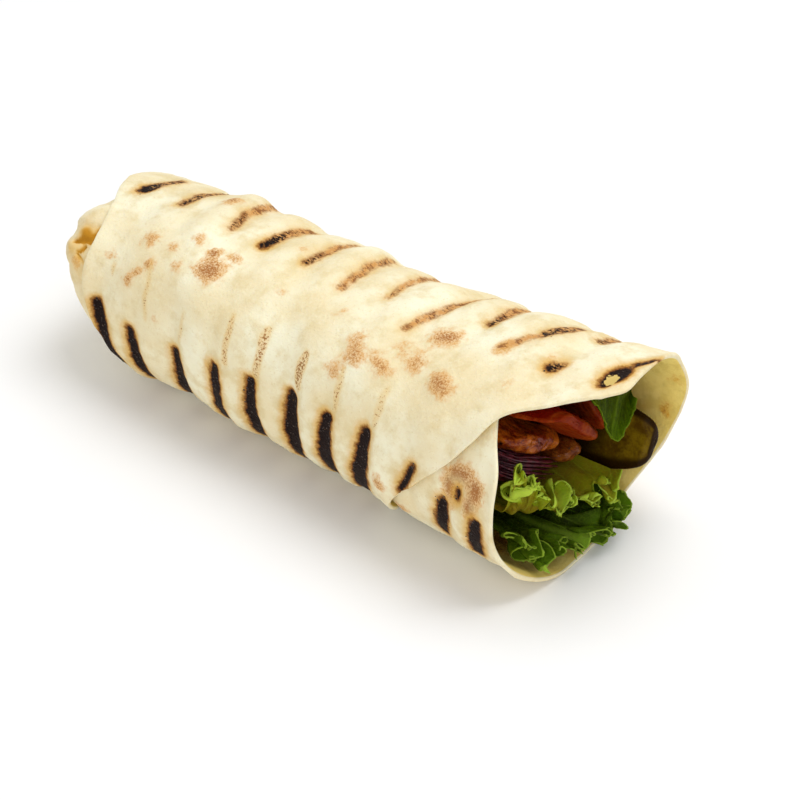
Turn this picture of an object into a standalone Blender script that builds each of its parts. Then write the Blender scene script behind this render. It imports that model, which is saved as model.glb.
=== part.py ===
"""A grilled chicken wrap: a rolled flatbread with its fillings showing at the open mouth.

Frame: +X runs along the roll to the open mouth, -Y is the side where the flap shows, +Z is up.
The origin is at the middle of the base. Lengths below are in millimetres, and MM makes them metres.
The roll angle grows along the sheet from its hidden inner edge to its outer flap. At 0 degrees the
sheet stands on the -Y side, at 90 it lies underneath, and at 180 it stands on the +Y side.
A filling's place across the roll is given on a disc of radius 1 that stands for the cavity.
"""
import math

import bmesh
import bpy
import numpy as np

MM = 0.001
COLLECTION_NAME = "grilled_chicken_wrap"

# Roll: the sheet, its body and its two ends
SHEET_THICKNESS = 2.0
LAYER_STEP = SHEET_THICKNESS + 0.8
ROLL_START = -150.0
COLUMN_STEP = 12.0
ROLL_COLUMNS = 53
ROLL_ROWS = 36
SECTION_POWER = 2.25
BASE_SINK = 0.7
LENGTH_MIDDLE = 118.9
WIDTH_MIDDLE = 0.4
# Stations along the roll: place, half width, half height
STATIONS = (
    (0.0, 34.9, 31.0), (60.0, 38.2, 35.3), (120.0, 39.2, 36.1), (180.0, 43.4, 38.9), (240.0, 47.3, 43.0),
)
# The mouth rim: roll angle, place along the roll
MOUTH_RIM = (
    (-150.0, 196.0), (-90.0, 199.0), (-60.0, 204.0), (-39.0, 211.0), (-18.0, 217.5), (0.0, 218.5),
    (18.0, 217.5), (35.0, 221.0), (62.0, 224.5), (90.0, 223.5), (124.0, 219.5), (168.0, 227.0),
    (189.0, 232.0), (214.0, 233.0), (245.0, 238.5), (266.0, 242.0), (276.0, 243.0), (285.0, 236.5),
    (296.0, 226.0), (306.0, 214.5), (329.0, 203.5), (349.0, 193.0), (363.0, 181.6), (376.0, 173.0),
    (400.0, 161.0), (435.0, 150.0), (474.0, 140.0),
)
# The rim at the closed end, where the sheet ends or starts to bend in: roll angle, place
CLOSED_RIM = (
    (-150.0, 18.0), (-95.0, 27.0), (-66.0, 25.0), (-36.0, 14.0), (-8.0, 27.0), (30.0, 38.0),
    (95.0, 40.0), (150.0, 26.0), (200.0, 15.0), (235.0, 7.0), (258.5, 2.7), (278.0, 10.0), (290.0, 14.0),
    (310.0, 17.2), (337.0, 18.7), (352.0, 21.5), (369.0, 26.0), (400.0, 38.0), (435.0, 54.0),
    (474.0, 70.0),
)
INNER_TURN_END = 115.0
INNER_TURN_RISE_END = 210.0
RELAX_START = 6.0
RELAX_LENGTH = 30.0
CAP_TIP = -5.0
CAP_FULLNESS = 0.85
CAP_LOWER_TAPER = 0.9
CAP_CLOSURE = 0.97
CAP_ARC = 42.0
CAP_FULL_UNTIL = 196.0
CAP_NONE_FROM = 262.0
SLIT_HALF_WIDTH = 13.0
SLIT_HALF_HEIGHT = 2.0
SLIT_RISE = 9.0
SLIT_SHIFT = -3.0
PLEAT_COUNT = 7.0
PLEAT_DEPTH = 1.0
FLAP_START = 285.0
LIFT_REACH = 14.0
LIFT_HEIGHT = 0.9

# Unevenness of the roll: height, waves along the roll, waves round it, phase
SWELLS = ((0.7, 3.3, 2.0, 0.4), (0.5, 5.2, -1.0, 1.9), (0.35, 8.4, 3.0, 3.1))
BODY_LENGTH = 240.0
BOTTOM_ANGLE = 270.0
FLAT_REACH = 12.0
FLAT_FADE_END = 40.0

# Grill marks: shallow grooves in rows on three sides of the roll
GROOVE_COUNT = 12
GROOVE_FIRST = 27.0
GROOVE_PITCH = 18.8
GROOVE_DEPTH = 1.1
GROOVE_WIDTH = 4.2
GROOVE_CORE = 0.5
GROOVE_FADE = 1.2
GROOVE_SIDES = ((0.0, 30.0), (100.0, 36.0), (208.0, 28.0))

# The cavity that the fillings share
CAVITY_INSET = LAYER_STEP + SHEET_THICKNESS + 0.9
DEEP_END = 30.0
END_BLUNTNESS = 1.3
END_POWER = 0.4
SECTION_ROUNDNESS = 0.8
LINE_NUDGE = 0.02
LEAF_THICKNESS = 0.8

# Long fillings: place of the mouth end, centreline across the cavity, half thickness
CHICKEN = {
    "chicken_front": (211.0, ((-0.68, 0.52), (0.18, -0.06)), 0.155),
    "chicken_back": (209.0, ((0.16, -0.32), (0.48, -0.22)), 0.11),
}
CHICKEN_SIDES = 14
CHICKEN_RINGS = 14
CHICKEN_LUMPS = ((0.05, 5.0, 2.0, 0.3), (0.035, 9.0, 3.0, 1.7))
SLICES = {
    "tomato_front": (224.0, ((-0.56, 0.76), (-0.30, 0.70), (-0.02, 0.41), (0.41, -0.08)), 0.085),
    "tomato_back": (216.0, ((0.16, 0.70), (0.32, 0.40), (0.50, 0.08), (0.64, -0.20)), 0.05),
    "gherkin": (228.0, ((0.83, 0.08), (0.83, -0.25), (0.63, -0.59)), 0.095),
}
SLICE_SIDES = 16
SLICE_RINGS = 10

# Red onion: a core with strands fused on it
ONION_LINE = ((-0.80, 0.28), (-0.60, 0.0), (-0.28, -0.20), (0.02, -0.36))
ONION_CORE_END = 206.0
ONION_CORE_HALF_THICKNESS = 0.075
ONION_STRANDS = 5
ONION_STRAND_END = 210.0
ONION_STAGGER = 2.5
ONION_STAGGER_TURN = 2.3
ONION_STRAND_SPREAD = 0.17
ONION_STRAND_HALF_THICKNESS = 0.022
ONION_SIDES = 10
ONION_RINGS = 9

# Leaves: start, line across the cavity, mouth edge (part across, place along, disc place), ruffle
# height, ruffle waves, tooth length, where the bend to the mouth edge starts, columns, rows
LEAVES = {
    "lettuce_upper": (
        40.0, ((-0.74, -0.27), (-0.42, -0.47), (0.0, -0.56), (0.50, -0.45)),
        ((0.0, 218.0, -0.80, 0.40), (0.3, 219.0, -0.48, 0.08), (0.5, 220.0, -0.18, -0.22),
         (0.75, 221.0, 0.20, -0.44), (1.0, 224.0, 0.44, -0.40)), 0.08, 5.0, 1.6, 0.967, 31, 11),
    "lettuce_lower": (
        36.0, ((-0.74, -0.52), (-0.40, -0.74), (0.0, -0.82), (0.38, -0.79)),
        ((0.0, 219.0, -0.78, -0.50), (0.25, 224.0, -0.50, -0.76), (0.5, 228.5, -0.05, -0.88),
         (0.75, 229.5, 0.30, -0.84), (1.0, 229.0, 0.55, -0.80)), 0.075, 6.0, 2.4, 0.90, 31, 11),
    "salad_leaf": (
        130.0, ((0.35, 0.88), (0.66, 0.66), (0.90, 0.28)),
        ((0.0, 224.0, 0.04, 0.74), (0.3, 227.0, 0.12, 0.45), (0.55, 231.0, 0.22, 0.22),
         (0.8, 228.5, 0.45, 0.28), (1.0, 226.0, 0.62, 0.38)),
        0.02, 1.5, 0.0, 0.86, 13, 11),
}
LEAF_ROW_CROWDING = 2.5
DEEP_RUFFLE = 0.35


def smooth_step(low, high, value):
    """Rise smoothly from 0 at low to 1 at high."""
    part = min(max((value - low) / (high - low), 0.0), 1.0)
    return part * part * (3.0 - 2.0 * part)


def curve_value(points, value, column=1):
    """Read a smooth curve through rows of (place, value, ...)."""
    places = [point[0] for point in points]
    values = [point[column] for point in points]
    slopes = np.gradient(values, places)
    index = int(np.clip(np.searchsorted(places, value) - 1, 0, len(places) - 2))
    span = places[index + 1] - places[index]
    part = min(max((value - places[index]) / span, 0.0), 1.0)
    rise = values[index + 1] - values[index]
    start_bend = span * slopes[index] - rise
    end_bend = rise - span * slopes[index + 1]
    blend = (1.0 - part) * start_bend + part * end_bend
    return float(values[index] + part * rise + part * (1.0 - part) * blend)


def placed(along, across, height):
    """Turn a place on the roll into metres from the origin."""
    return ((along - LENGTH_MIDDLE) * MM, (across - WIDTH_MIDDLE) * MM, height * MM)


def half_sizes(along):
    """Half width and half height of the roll at a place along it."""
    return curve_value(STATIONS, along, 1), curve_value(STATIONS, along, 2)


def section_direction(side_angle):
    """Unit point of the rounded section; 0 degrees is the -Y side and 90 is the top."""
    angle = math.radians(side_angle)
    power = 2.0 / SECTION_POWER
    across = -math.copysign(abs(math.cos(angle)) ** power, math.cos(angle))
    height = math.copysign(abs(math.sin(angle)) ** power, math.sin(angle))
    return across, height


def angle_between(first, second):
    """Smallest difference of two side angles."""
    return abs((first - second + 180.0) % 360.0 - 180.0)


def groove(along, side_angle):
    """Depth of the pressed grill marks, and the swelling between them."""
    depth = 0.0
    for side, reach in GROOVE_SIDES:
        weight = 1.0 - smooth_step(
            GROOVE_CORE * reach, GROOVE_FADE * reach, angle_between(side_angle, side))
        phase = (along - GROOVE_FIRST) / GROOVE_PITCH
        nearest = min(max(round(phase), 0), GROOVE_COUNT - 1)
        offset = (phase - nearest) * GROOVE_PITCH / GROOVE_WIDTH
        depth += weight * GROOVE_DEPTH * math.exp(-offset * offset)
    return depth


def unevenness(along, side_angle):
    """Low swells of the soft roll, less its grill grooves; the underside that it rests on is even."""
    swell = 0.0
    for height, along_waves, round_waves, phase in SWELLS:
        turn = math.tau * along_waves * along / BODY_LENGTH + round_waves * math.radians(side_angle)
        swell += height * math.sin(turn + phase)
    fade = smooth_step(FLAT_REACH, FLAT_FADE_END, angle_between(side_angle, BOTTOM_ANGLE))
    return (swell - groove(along, side_angle)) * fade


def layer_inset(roll_angle, along):
    """How far a turn of the sheet lies inside the outermost one."""
    inset = LAYER_STEP * (1.0 - smooth_step(INNER_TURN_END, INNER_TURN_RISE_END, roll_angle))
    flap_angle = roll_angle + 360.0
    if flap_angle < ROLL_START + COLUMN_STEP * (ROLL_COLUMNS - 1):
        flap_edge = curve_value(MOUTH_RIM, flap_angle)
        inset *= 1.0 - smooth_step(flap_edge + RELAX_START, flap_edge + RELAX_START + RELAX_LENGTH, along)
    return inset


def flap_lift(roll_angle, along):
    """How far the free edges of the outer flap stand off the turn below."""
    if roll_angle < FLAP_START:
        return 0.0
    mouth_gap = curve_value(MOUTH_RIM, roll_angle) - along
    closed_gap = along - curve_value(CLOSED_RIM, roll_angle)
    edge = max(1.0 - mouth_gap / LIFT_REACH, 1.0 - closed_gap / LIFT_REACH, 0.0)
    return LIFT_HEIGHT * edge * edge


def body_point(roll_angle, along):
    """Point of the sheet's outer face along the body of the roll."""
    side_angle = -roll_angle
    across_unit, height_unit = section_direction(side_angle)
    half_width, half_height = half_sizes(along)
    inset = layer_inset(roll_angle, along)
    growth = unevenness(along, side_angle) + flap_lift(roll_angle, along) - inset
    across = (half_width + growth) * across_unit
    height = half_height - BASE_SINK + (half_height + growth) * height_unit
    return np.array([along, across, max(height, inset)])


def cap_point(roll_angle, bend):
    """Point of the outer face where the sheet folds over the closed end; bend runs from 0 to 1."""
    start = curve_value(CLOSED_RIM, roll_angle)
    rim = body_point(roll_angle, start)
    inset = layer_inset(roll_angle, start)
    side_angle = math.radians(-roll_angle)
    centre_height = half_sizes(start)[1] - BASE_SINK + SLIT_RISE
    slit_across = SLIT_SHIFT - SLIT_HALF_WIDTH * math.cos(side_angle)
    slit_height = centre_height + SLIT_HALF_HEIGHT * math.sin(side_angle)
    turn = bend * CAP_CLOSURE * math.pi / 2.0
    fullness = CAP_FULLNESS + CAP_LOWER_TAPER * max(-math.sin(side_angle), 0.0)
    shrink = math.cos(turn) ** fullness
    pleat = PLEAT_DEPTH * math.sin(2.0 * turn) * math.cos(PLEAT_COUNT * side_angle)
    along = start - (start - CAP_TIP - inset) * math.sin(turn) + pleat
    across = rim[1] * shrink + slit_across * (1.0 - shrink)
    height = rim[2] * shrink + slit_height * (1.0 - shrink)
    return np.array([along, across, height])


def sheet_point(roll_angle, part):
    """Point of the sheet's outer face; part runs from the closed end to the mouth."""
    reach = 1.0 - smooth_step(CAP_FULL_UNTIL, CAP_NONE_FROM, roll_angle)
    start = curve_value(CLOSED_RIM, roll_angle)
    end = curve_value(MOUTH_RIM, roll_angle)
    cap_length = CAP_ARC * reach
    travelled = part * (cap_length + end - start)
    if travelled < cap_length:
        return cap_point(roll_angle, (cap_length - travelled) / CAP_ARC)
    return body_point(roll_angle, start + travelled - cap_length)


def cavity_point(along, across_unit, height_unit):
    """Point of the cavity from its place on the unit disc."""
    half_width, half_height = half_sizes(along)
    across = (half_width - CAVITY_INSET) * across_unit
    height = half_height - BASE_SINK + (half_height - CAVITY_INSET) * height_unit
    return np.array([along, across, height])


def new_material(name, colour, roughness):
    """Plain finish of one sub-part."""
    material = bpy.data.materials.new(name)
    material.use_nodes = True
    shader = material.node_tree.nodes["Principled BSDF"]
    shader.inputs["Base Color"].default_value = (*colour, 1.0)
    shader.inputs["Roughness"].default_value = roughness
    shader.inputs["Metallic"].default_value = 0.0
    material.diffuse_color = (*colour, 1.0)
    return material


def new_object(name, bm, collection, material):
    """Turn a bmesh into an object of the collection, shaded smooth."""
    mesh = bpy.data.meshes.new(name)
    bm.to_mesh(mesh)
    bm.free()
    mesh.shade_smooth()
    mesh.materials.append(material)
    part = bpy.data.objects.new(name, mesh)
    collection.objects.link(part)
    return part


def open_sheet(name, point_at, columns, rows, thickness, collection, material):
    """Open surface from a function of two parts from 0 to 1, given its thickness by Solidify."""
    bm = bmesh.new()
    grid = []
    for column in range(columns):
        line = [point_at(column / (columns - 1), row / (rows - 1)) for row in range(rows)]
        grid.append([bm.verts.new(placed(*point)) for point in line])
    for first, second in zip(grid[:-1], grid[1:]):
        for row in range(rows - 1):
            bm.faces.new((first[row], second[row], second[row + 1]))
            bm.faces.new((first[row], second[row + 1], first[row + 1]))
    part = new_object(name, bm, collection, material)
    wall = part.modifiers.new("Thickness", "SOLIDIFY")
    wall.thickness = thickness * MM
    wall.offset = -1.0
    return part


def line_point(line, part):
    """Point and direction on a smooth line across the cavity."""
    steps = len(line) - 1
    across_rows = [(index / steps, point[0]) for index, point in enumerate(line)]
    height_rows = [(index / steps, point[1]) for index, point in enumerate(line)]
    here = np.array([curve_value(across_rows, part), curve_value(height_rows, part)])
    before = np.array([curve_value(across_rows, part - LINE_NUDGE), curve_value(height_rows, part - LINE_NUDGE)])
    after = np.array([curve_value(across_rows, part + LINE_NUDGE), curve_value(height_rows, part + LINE_NUDGE)])
    direction = (after - before) / np.linalg.norm(after - before)
    return here, direction


def long_filling_mesh(end, line, half_thickness, sides, rings, lumps):
    """A rounded strip along the cavity: its section follows a line and its ends are round."""
    bm = bmesh.new()
    bmesh.ops.create_uvsphere(bm, u_segments=sides, v_segments=rings, radius=1.0)
    for vertex in bm.verts:
        lift = min(max(vertex.co.z, -1.0), 1.0)
        polar = math.acos(lift) / math.pi
        round_angle = math.atan2(vertex.co.y, vertex.co.x)
        along = end + (DEEP_END - end) * 0.5 * (1.0 - lift)
        swell = min(1.0, END_BLUNTNESS * math.sin(math.pi * polar) ** END_POWER)
        bump = 1.0
        for height, along_waves, round_waves, phase in lumps:
            bump -= height * (1.0 + math.sin(math.tau * along_waves * polar + round_waves * round_angle + phase))
        flat = math.copysign(abs(math.cos(round_angle)) ** SECTION_ROUNDNESS, math.cos(round_angle))
        place, direction = line_point(line, 0.5 + 0.5 * flat * swell)
        side = np.array([-direction[1], direction[0]])
        rise = half_thickness * swell * bump * math.sin(round_angle)
        spot = place + side * rise
        vertex.co = placed(*cavity_point(along, spot[0], spot[1]))
    if bm.calc_volume(signed=True) < 0.0:
        bmesh.ops.reverse_faces(bm, faces=bm.faces)
    return bm


def make_bread(collection):
    """The grilled flatbread, rolled in one sheet."""
    last_angle = COLUMN_STEP * (ROLL_COLUMNS - 1)

    def point_at(round_part, along_part):
        return sheet_point(ROLL_START + last_angle * round_part, along_part)

    crumb = new_material("Flatbread", (0.83, 0.72, 0.52), 0.75)
    return open_sheet(
        "flatbread", point_at, ROLL_COLUMNS, ROLL_ROWS, SHEET_THICKNESS, collection, crumb)


def make_chicken(collection):
    """Strips of glazed chicken."""
    glaze = new_material("Chicken", (0.42, 0.13, 0.03), 0.3)
    for name, (end, line, half_thickness) in CHICKEN.items():
        bm = long_filling_mesh(end, line, half_thickness, CHICKEN_SIDES, CHICKEN_RINGS, CHICKEN_LUMPS)
        new_object(name, bm, collection, glaze)


def make_slices(collection):
    """Slices of tomato and of gherkin."""
    tomato = new_material("Tomato", (0.55, 0.07, 0.02), 0.3)
    finishes = {
        "tomato_front": tomato,
        "tomato_back": tomato,
        "gherkin": new_material("Gherkin", (0.18, 0.17, 0.02), 0.35),
    }
    for name, (end, line, half_thickness) in SLICES.items():
        bm = long_filling_mesh(end, line, half_thickness, SLICE_SIDES, SLICE_RINGS, ())
        new_object(name, bm, collection, finishes[name])


def shifted_line(line, shift):
    """A line across the cavity moved sideways, off its own direction."""
    points = []
    for index in range(len(line)):
        place, direction = line_point(line, index / (len(line) - 1))
        points.append((place[0] - direction[1] * shift, place[1] + direction[0] * shift))
    return tuple(points)


def make_onion(collection):
    """Sliced red onion: one bundle of strands, joined to its core."""
    skin = new_material("RedOnion", (0.16, 0.015, 0.03), 0.35)
    core_mesh = long_filling_mesh(
        ONION_CORE_END, ONION_LINE, ONION_CORE_HALF_THICKNESS, ONION_SIDES, ONION_RINGS, ())
    core = new_object("red_onion", core_mesh, collection, skin)
    strands = bpy.data.collections.new("onion_strands")
    bpy.context.scene.collection.children.link(strands)
    for index in range(ONION_STRANDS):
        part = index / (ONION_STRANDS - 1) - 0.5
        line = shifted_line(ONION_LINE, part * ONION_STRAND_SPREAD)
        end = ONION_STRAND_END + ONION_STAGGER * math.sin(ONION_STAGGER_TURN * index)
        mesh = long_filling_mesh(
            end, line, ONION_STRAND_HALF_THICKNESS, ONION_SIDES, ONION_RINGS, ())
        new_object("strand_%d" % index, mesh, strands, skin)
    union = core.modifiers.new("Strands", "BOOLEAN")
    union.operation = "UNION"
    union.operand_type = "COLLECTION"
    union.collection = strands
    union.solver = "EXACT"
    graph = bpy.context.evaluated_depsgraph_get()
    joined = bpy.data.meshes.new_from_object(core.evaluated_get(graph))
    core.modifiers.remove(union)
    core.data = joined
    for strand in list(strands.objects):
        bpy.data.objects.remove(strand, do_unlink=True)
    bpy.data.collections.remove(strands)


def leaf_point(shape, across_part, along_part):
    """Point of a leaf that lies along the cavity and bends to its edge at the mouth."""
    start, line, edge, ruffle, waves, tooth, bend_start = shape
    place, direction = line_point(line, across_part)
    reach = 1.0 - (1.0 - along_part) ** LEAF_ROW_CROWDING
    bend = smooth_step(bend_start, 1.0, reach)
    edge_place = np.array([curve_value(edge, across_part, 2), curve_value(edge, across_part, 3)])
    edge_end = curve_value(edge, across_part, 1)
    wave = math.sin(math.tau * waves * across_part)
    end = edge_end + tooth * math.cos(2.0 * math.tau * waves * across_part)
    side = np.array([-direction[1], direction[0]])
    waviness = ruffle * wave * (DEEP_RUFFLE + (1.0 - DEEP_RUFFLE) * bend)
    spot = place * (1.0 - bend) + edge_place * bend + side * waviness
    return cavity_point(start + (end - start) * reach, spot[0], spot[1])


def make_leaves(collection):
    """Frilled lettuce below and a smooth salad leaf above."""
    finishes = {
        "lettuce": new_material("Lettuce", (0.20, 0.36, 0.04), 0.45),
        "salad": new_material("SaladLeaf", (0.10, 0.25, 0.02), 0.4),
    }
    for name, numbers in LEAVES.items():
        shape, (columns, rows) = numbers[:7], numbers[7:]

        def point_at(across_part, along_part, shape=shape):
            return leaf_point(shape, across_part, along_part)

        finish = finishes[name.split("_")[0]]
        open_sheet(name, point_at, columns, rows, LEAF_THICKNESS, collection, finish)


def main():
    """Clear the scene and build every sub-part."""
    for old in list(bpy.data.objects):
        bpy.data.objects.remove(old, do_unlink=True)
    collection = bpy.data.collections.new(COLLECTION_NAME)
    bpy.context.scene.collection.children.link(collection)
    make_bread(collection)
    make_chicken(collection)
    make_slices(collection)
    make_onion(collection)
    make_leaves(collection)


main()
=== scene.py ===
"""Looks of a grilled chicken wrap: a rolled flatbread with its fillings at the open mouth.

Lengths are in millimetres until a mesh is made. The roll's own frame has x along the roll, y across
it and z up from the table, and the roll angle grows along the sheet from its inner edge to its flap:
at 0 degrees the sheet stands on the -Y side, at 90 it lies underneath, at 180 it is on the +Y side.
"""
import enum
import logging
import math
from dataclasses import dataclass, field
from typing import Any, Callable, Sequence

import bmesh
import bpy
import numpy as np
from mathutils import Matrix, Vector, noise


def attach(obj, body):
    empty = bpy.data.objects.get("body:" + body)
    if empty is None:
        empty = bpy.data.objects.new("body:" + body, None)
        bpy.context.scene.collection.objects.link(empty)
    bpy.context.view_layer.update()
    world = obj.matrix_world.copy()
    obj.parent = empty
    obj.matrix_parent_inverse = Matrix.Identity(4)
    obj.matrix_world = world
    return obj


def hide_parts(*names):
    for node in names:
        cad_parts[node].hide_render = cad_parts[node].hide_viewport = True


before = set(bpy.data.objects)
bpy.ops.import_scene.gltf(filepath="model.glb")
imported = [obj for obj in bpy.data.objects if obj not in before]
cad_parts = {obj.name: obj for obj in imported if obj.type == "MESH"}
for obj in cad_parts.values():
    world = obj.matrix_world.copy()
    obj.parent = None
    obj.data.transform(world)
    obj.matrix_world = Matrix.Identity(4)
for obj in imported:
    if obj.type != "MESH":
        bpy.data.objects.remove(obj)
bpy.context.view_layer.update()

log = logging.getLogger("wrap")
logging.basicConfig(level=logging.INFO, format="%(name)s %(message)s")

MM = 0.001
BODY = "root"
Colour = tuple[float, float, float]
Rows = Sequence[tuple[float, ...]]


# Maths on arrays


def smooth_step(low: float, high: float, value: Any) -> np.ndarray:
    """Rise smoothly from 0 at low to 1 at high.

    Args:
        low: Where the rise starts.
        high: Where it ends.
        value: Number or array.

    Returns:
        Array of parts from 0 to 1.
    """
    part = np.clip((np.asarray(value, float) - low) / (high - low), 0.0, 1.0)
    return part * part * (3.0 - 2.0 * part)


def curve_value(rows: Rows, value: Any, column: int = 1) -> np.ndarray:
    """Read a smooth curve through rows of place and values.

    Args:
        rows: Rows whose first number is the place.
        value: Place or array of places.
        column: Which number of the rows to read.

    Returns:
        Array of values at the places.
    """
    places = np.array([row[0] for row in rows], float)
    values = np.array([row[column] for row in rows], float)
    slopes = np.gradient(values, places)
    at = np.asarray(value, float)
    index = np.clip(np.searchsorted(places, at) - 1, 0, len(places) - 2)
    span = places[index + 1] - places[index]
    part = np.clip((at - places[index]) / span, 0.0, 1.0)
    rise = values[index + 1] - values[index]
    bend = (1.0 - part) * (span * slopes[index] - rise) + part * (rise - span * slopes[index + 1])
    return values[index] + part * rise + part * (1.0 - part) * bend


def unit(vectors: np.ndarray) -> np.ndarray:
    """Vectors of an array brought to length 1."""
    length = np.linalg.norm(vectors, axis=-1, keepdims=True)
    return vectors / np.maximum(length, 1e-9)


def soft_noise(points: np.ndarray, grain: float, seed: float) -> np.ndarray:
    """Smooth noise at points.

    Args:
        points: Array of places in millimetres, three numbers each.
        grain: Size of one hump in millimetres.
        seed: Shift that makes another pattern.

    Returns:
        Array of values from about -1 to 1.
    """
    flat = points.reshape(-1, 3) / grain + seed
    values = [noise.noise(Vector(place)) for place in flat]
    return np.array(values).reshape(points.shape[:-1])


def grid_normals(points: np.ndarray) -> np.ndarray:
    """Unit normals of a grid of points, from its two directions."""
    first = np.gradient(points, axis=0)
    second = np.gradient(points, axis=1)
    return unit(np.cross(first, second))


# Shape of the roll


@dataclass(frozen=True)
class RollShape:
    """Rolled sheet: its body, its two rims and the closed end."""

    thickness: float = 2.0
    layer_step: float = 2.8
    roll_start: float = -150.0
    roll_end: float = 474.0
    section_power: float = 2.25
    base_sink: float = 0.7
    length_middle: float = 118.9
    width_middle: float = 0.4
    stations: Rows = (
        (0.0, 34.9, 31.0), (60.0, 38.2, 35.3), (120.0, 39.2, 36.1), (180.0, 43.4, 38.9), (240.0, 47.3, 43.0),
    )
    mouth_rim: Rows = (
        (-150.0, 196.0), (-90.0, 199.0), (-60.0, 204.0), (-39.0, 211.0), (-18.0, 217.5), (0.0, 218.5),
        (18.0, 217.5), (35.0, 221.0), (62.0, 224.5), (90.0, 223.5), (124.0, 219.5), (168.0, 227.0),
        (189.0, 232.0), (214.0, 233.0), (245.0, 238.5), (266.0, 242.0), (276.0, 243.0), (285.0, 236.5),
        (296.0, 226.0), (306.0, 214.5), (329.0, 203.5), (349.0, 193.0), (363.0, 181.6), (376.0, 172.5),
        (390.0, 168.0), (405.0, 164.5), (435.0, 153.0), (474.0, 140.0),
    )
    closed_rim: Rows = (
        (-150.0, 18.0), (-95.0, 27.0), (-66.0, 25.0), (-36.0, 14.0), (-8.0, 27.0), (30.0, 38.0),
        (95.0, 40.0), (150.0, 26.0), (200.0, 15.0), (235.0, 7.0), (258.5, 2.7), (278.0, 10.0), (290.0, 14.0),
        (310.0, 17.2), (337.0, 18.7), (352.0, 21.5), (369.0, 26.0), (400.0, 38.0), (435.0, 54.0),
        (474.0, 70.0),
    )
    inner_turn_end: float = 115.0
    inner_turn_rise_end: float = 210.0
    relax_start: float = 6.0
    relax_length: float = 30.0
    cap_tip: float = -5.0
    cap_fullness: float = 0.85
    cap_lower_taper: float = 0.9
    cap_closure: float = 0.97
    cap_arc: float = 42.0
    cap_full_until: float = 196.0
    cap_none_from: float = 262.0
    slit_half_width: float = 13.0
    slit_half_height: float = 2.0
    slit_rise: float = 9.0
    slit_shift: float = -3.0
    pleat_count: float = 7.0
    pleat_depth: float = 1.0
    flap_start: float = 285.0
    lift_reach: float = 14.0
    lift_height: float = 0.9
    lift_fade: tuple[float, float] = (378.0, 402.0)
    swells: Rows = ((0.7, 3.3, 2.0, 0.4), (0.5, 5.2, -1.0, 1.9), (0.35, 8.4, 3.0, 3.1))
    body_length: float = 240.0
    bottom_angle: float = 270.0
    flat_reach: float = 12.0
    flat_fade_end: float = 40.0
    groove_count: int = 12
    groove_first: float = 27.0
    groove_pitch: float = 18.8
    groove_depth: float = 1.1
    groove_width: float = 4.2
    groove_core: float = 0.5
    groove_fade: float = 1.2
    groove_sides: Rows = ((0.0, 30.0), (100.0, 36.0), (208.0, 28.0))
    cavity_inset: float = 5.7
    deep_end: float = 30.0

    def placed(self, points: np.ndarray) -> np.ndarray:
        """Turn roll places in millimetres into metres from the object's origin."""
        return (points - np.array([self.length_middle, self.width_middle, 0.0])) * MM

    def half_sizes(self, along: Any) -> tuple[np.ndarray, np.ndarray]:
        """Half width and half height of the roll at places along it."""
        return curve_value(self.stations, along, 1), curve_value(self.stations, along, 2)

    def direction(self, side_angle: np.ndarray) -> tuple[np.ndarray, np.ndarray]:
        """Unit point of the rounded section; 0 degrees is the -Y side and 90 is the top."""
        angle = np.radians(side_angle)
        power = 2.0 / self.section_power
        across = -np.sign(np.cos(angle)) * np.abs(np.cos(angle)) ** power
        height = np.sign(np.sin(angle)) * np.abs(np.sin(angle)) ** power
        return across, height

    def unevenness(self, along: np.ndarray, side_angle: np.ndarray) -> np.ndarray:
        """Low swells of the soft roll, less its pressed grill marks; its underside is even."""
        swell = np.zeros(np.broadcast(along, side_angle).shape)
        for height, along_waves, round_waves, phase in self.swells:
            turn = math.tau * along_waves * along / self.body_length + round_waves * np.radians(side_angle)
            swell = swell + height * np.sin(turn + phase)
        for side, reach in self.groove_sides:
            apart = np.abs((side_angle - side + 180.0) % 360.0 - 180.0)
            weight = 1.0 - smooth_step(self.groove_core * reach, self.groove_fade * reach, apart)
            place = (along - self.groove_first) / self.groove_pitch
            nearest = np.clip(np.round(place), 0, self.groove_count - 1)
            offset = (place - nearest) * self.groove_pitch / self.groove_width
            swell = swell - weight * self.groove_depth * np.exp(-offset * offset)
        apart = np.abs((side_angle - self.bottom_angle + 180.0) % 360.0 - 180.0)
        return swell * smooth_step(self.flat_reach, self.flat_fade_end, apart)

    def inset(self, roll_angle: np.ndarray, along: np.ndarray) -> np.ndarray:
        """How far a turn of the sheet lies inside the outermost one."""
        depth = self.layer_step * (1.0 - smooth_step(self.inner_turn_end, self.inner_turn_rise_end, roll_angle))
        edge = curve_value(self.mouth_rim, np.minimum(roll_angle + 360.0, self.roll_end))
        start = edge + self.relax_start
        relaxed = np.clip((along - start) / self.relax_length, 0.0, 1.0)
        relaxed = relaxed * relaxed * (3.0 - 2.0 * relaxed)
        covered = roll_angle + 360.0 < self.roll_end
        return depth * np.where(covered, 1.0 - relaxed, 1.0)

    def lift(self, roll_angle: np.ndarray, along: np.ndarray) -> np.ndarray:
        """How far the free edges of the outer flap stand off the turn below."""
        mouth_gap = curve_value(self.mouth_rim, roll_angle) - along
        closed_gap = along - curve_value(self.closed_rim, roll_angle)
        edge = np.maximum(1.0 - mouth_gap / self.lift_reach, 1.0 - closed_gap / self.lift_reach)
        edge = np.clip(edge, 0.0, 1.5)
        edge = edge * (1.0 - smooth_step(*self.lift_fade, roll_angle))
        return np.where(roll_angle < self.flap_start, 0.0, self.lift_height * edge * edge)

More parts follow.
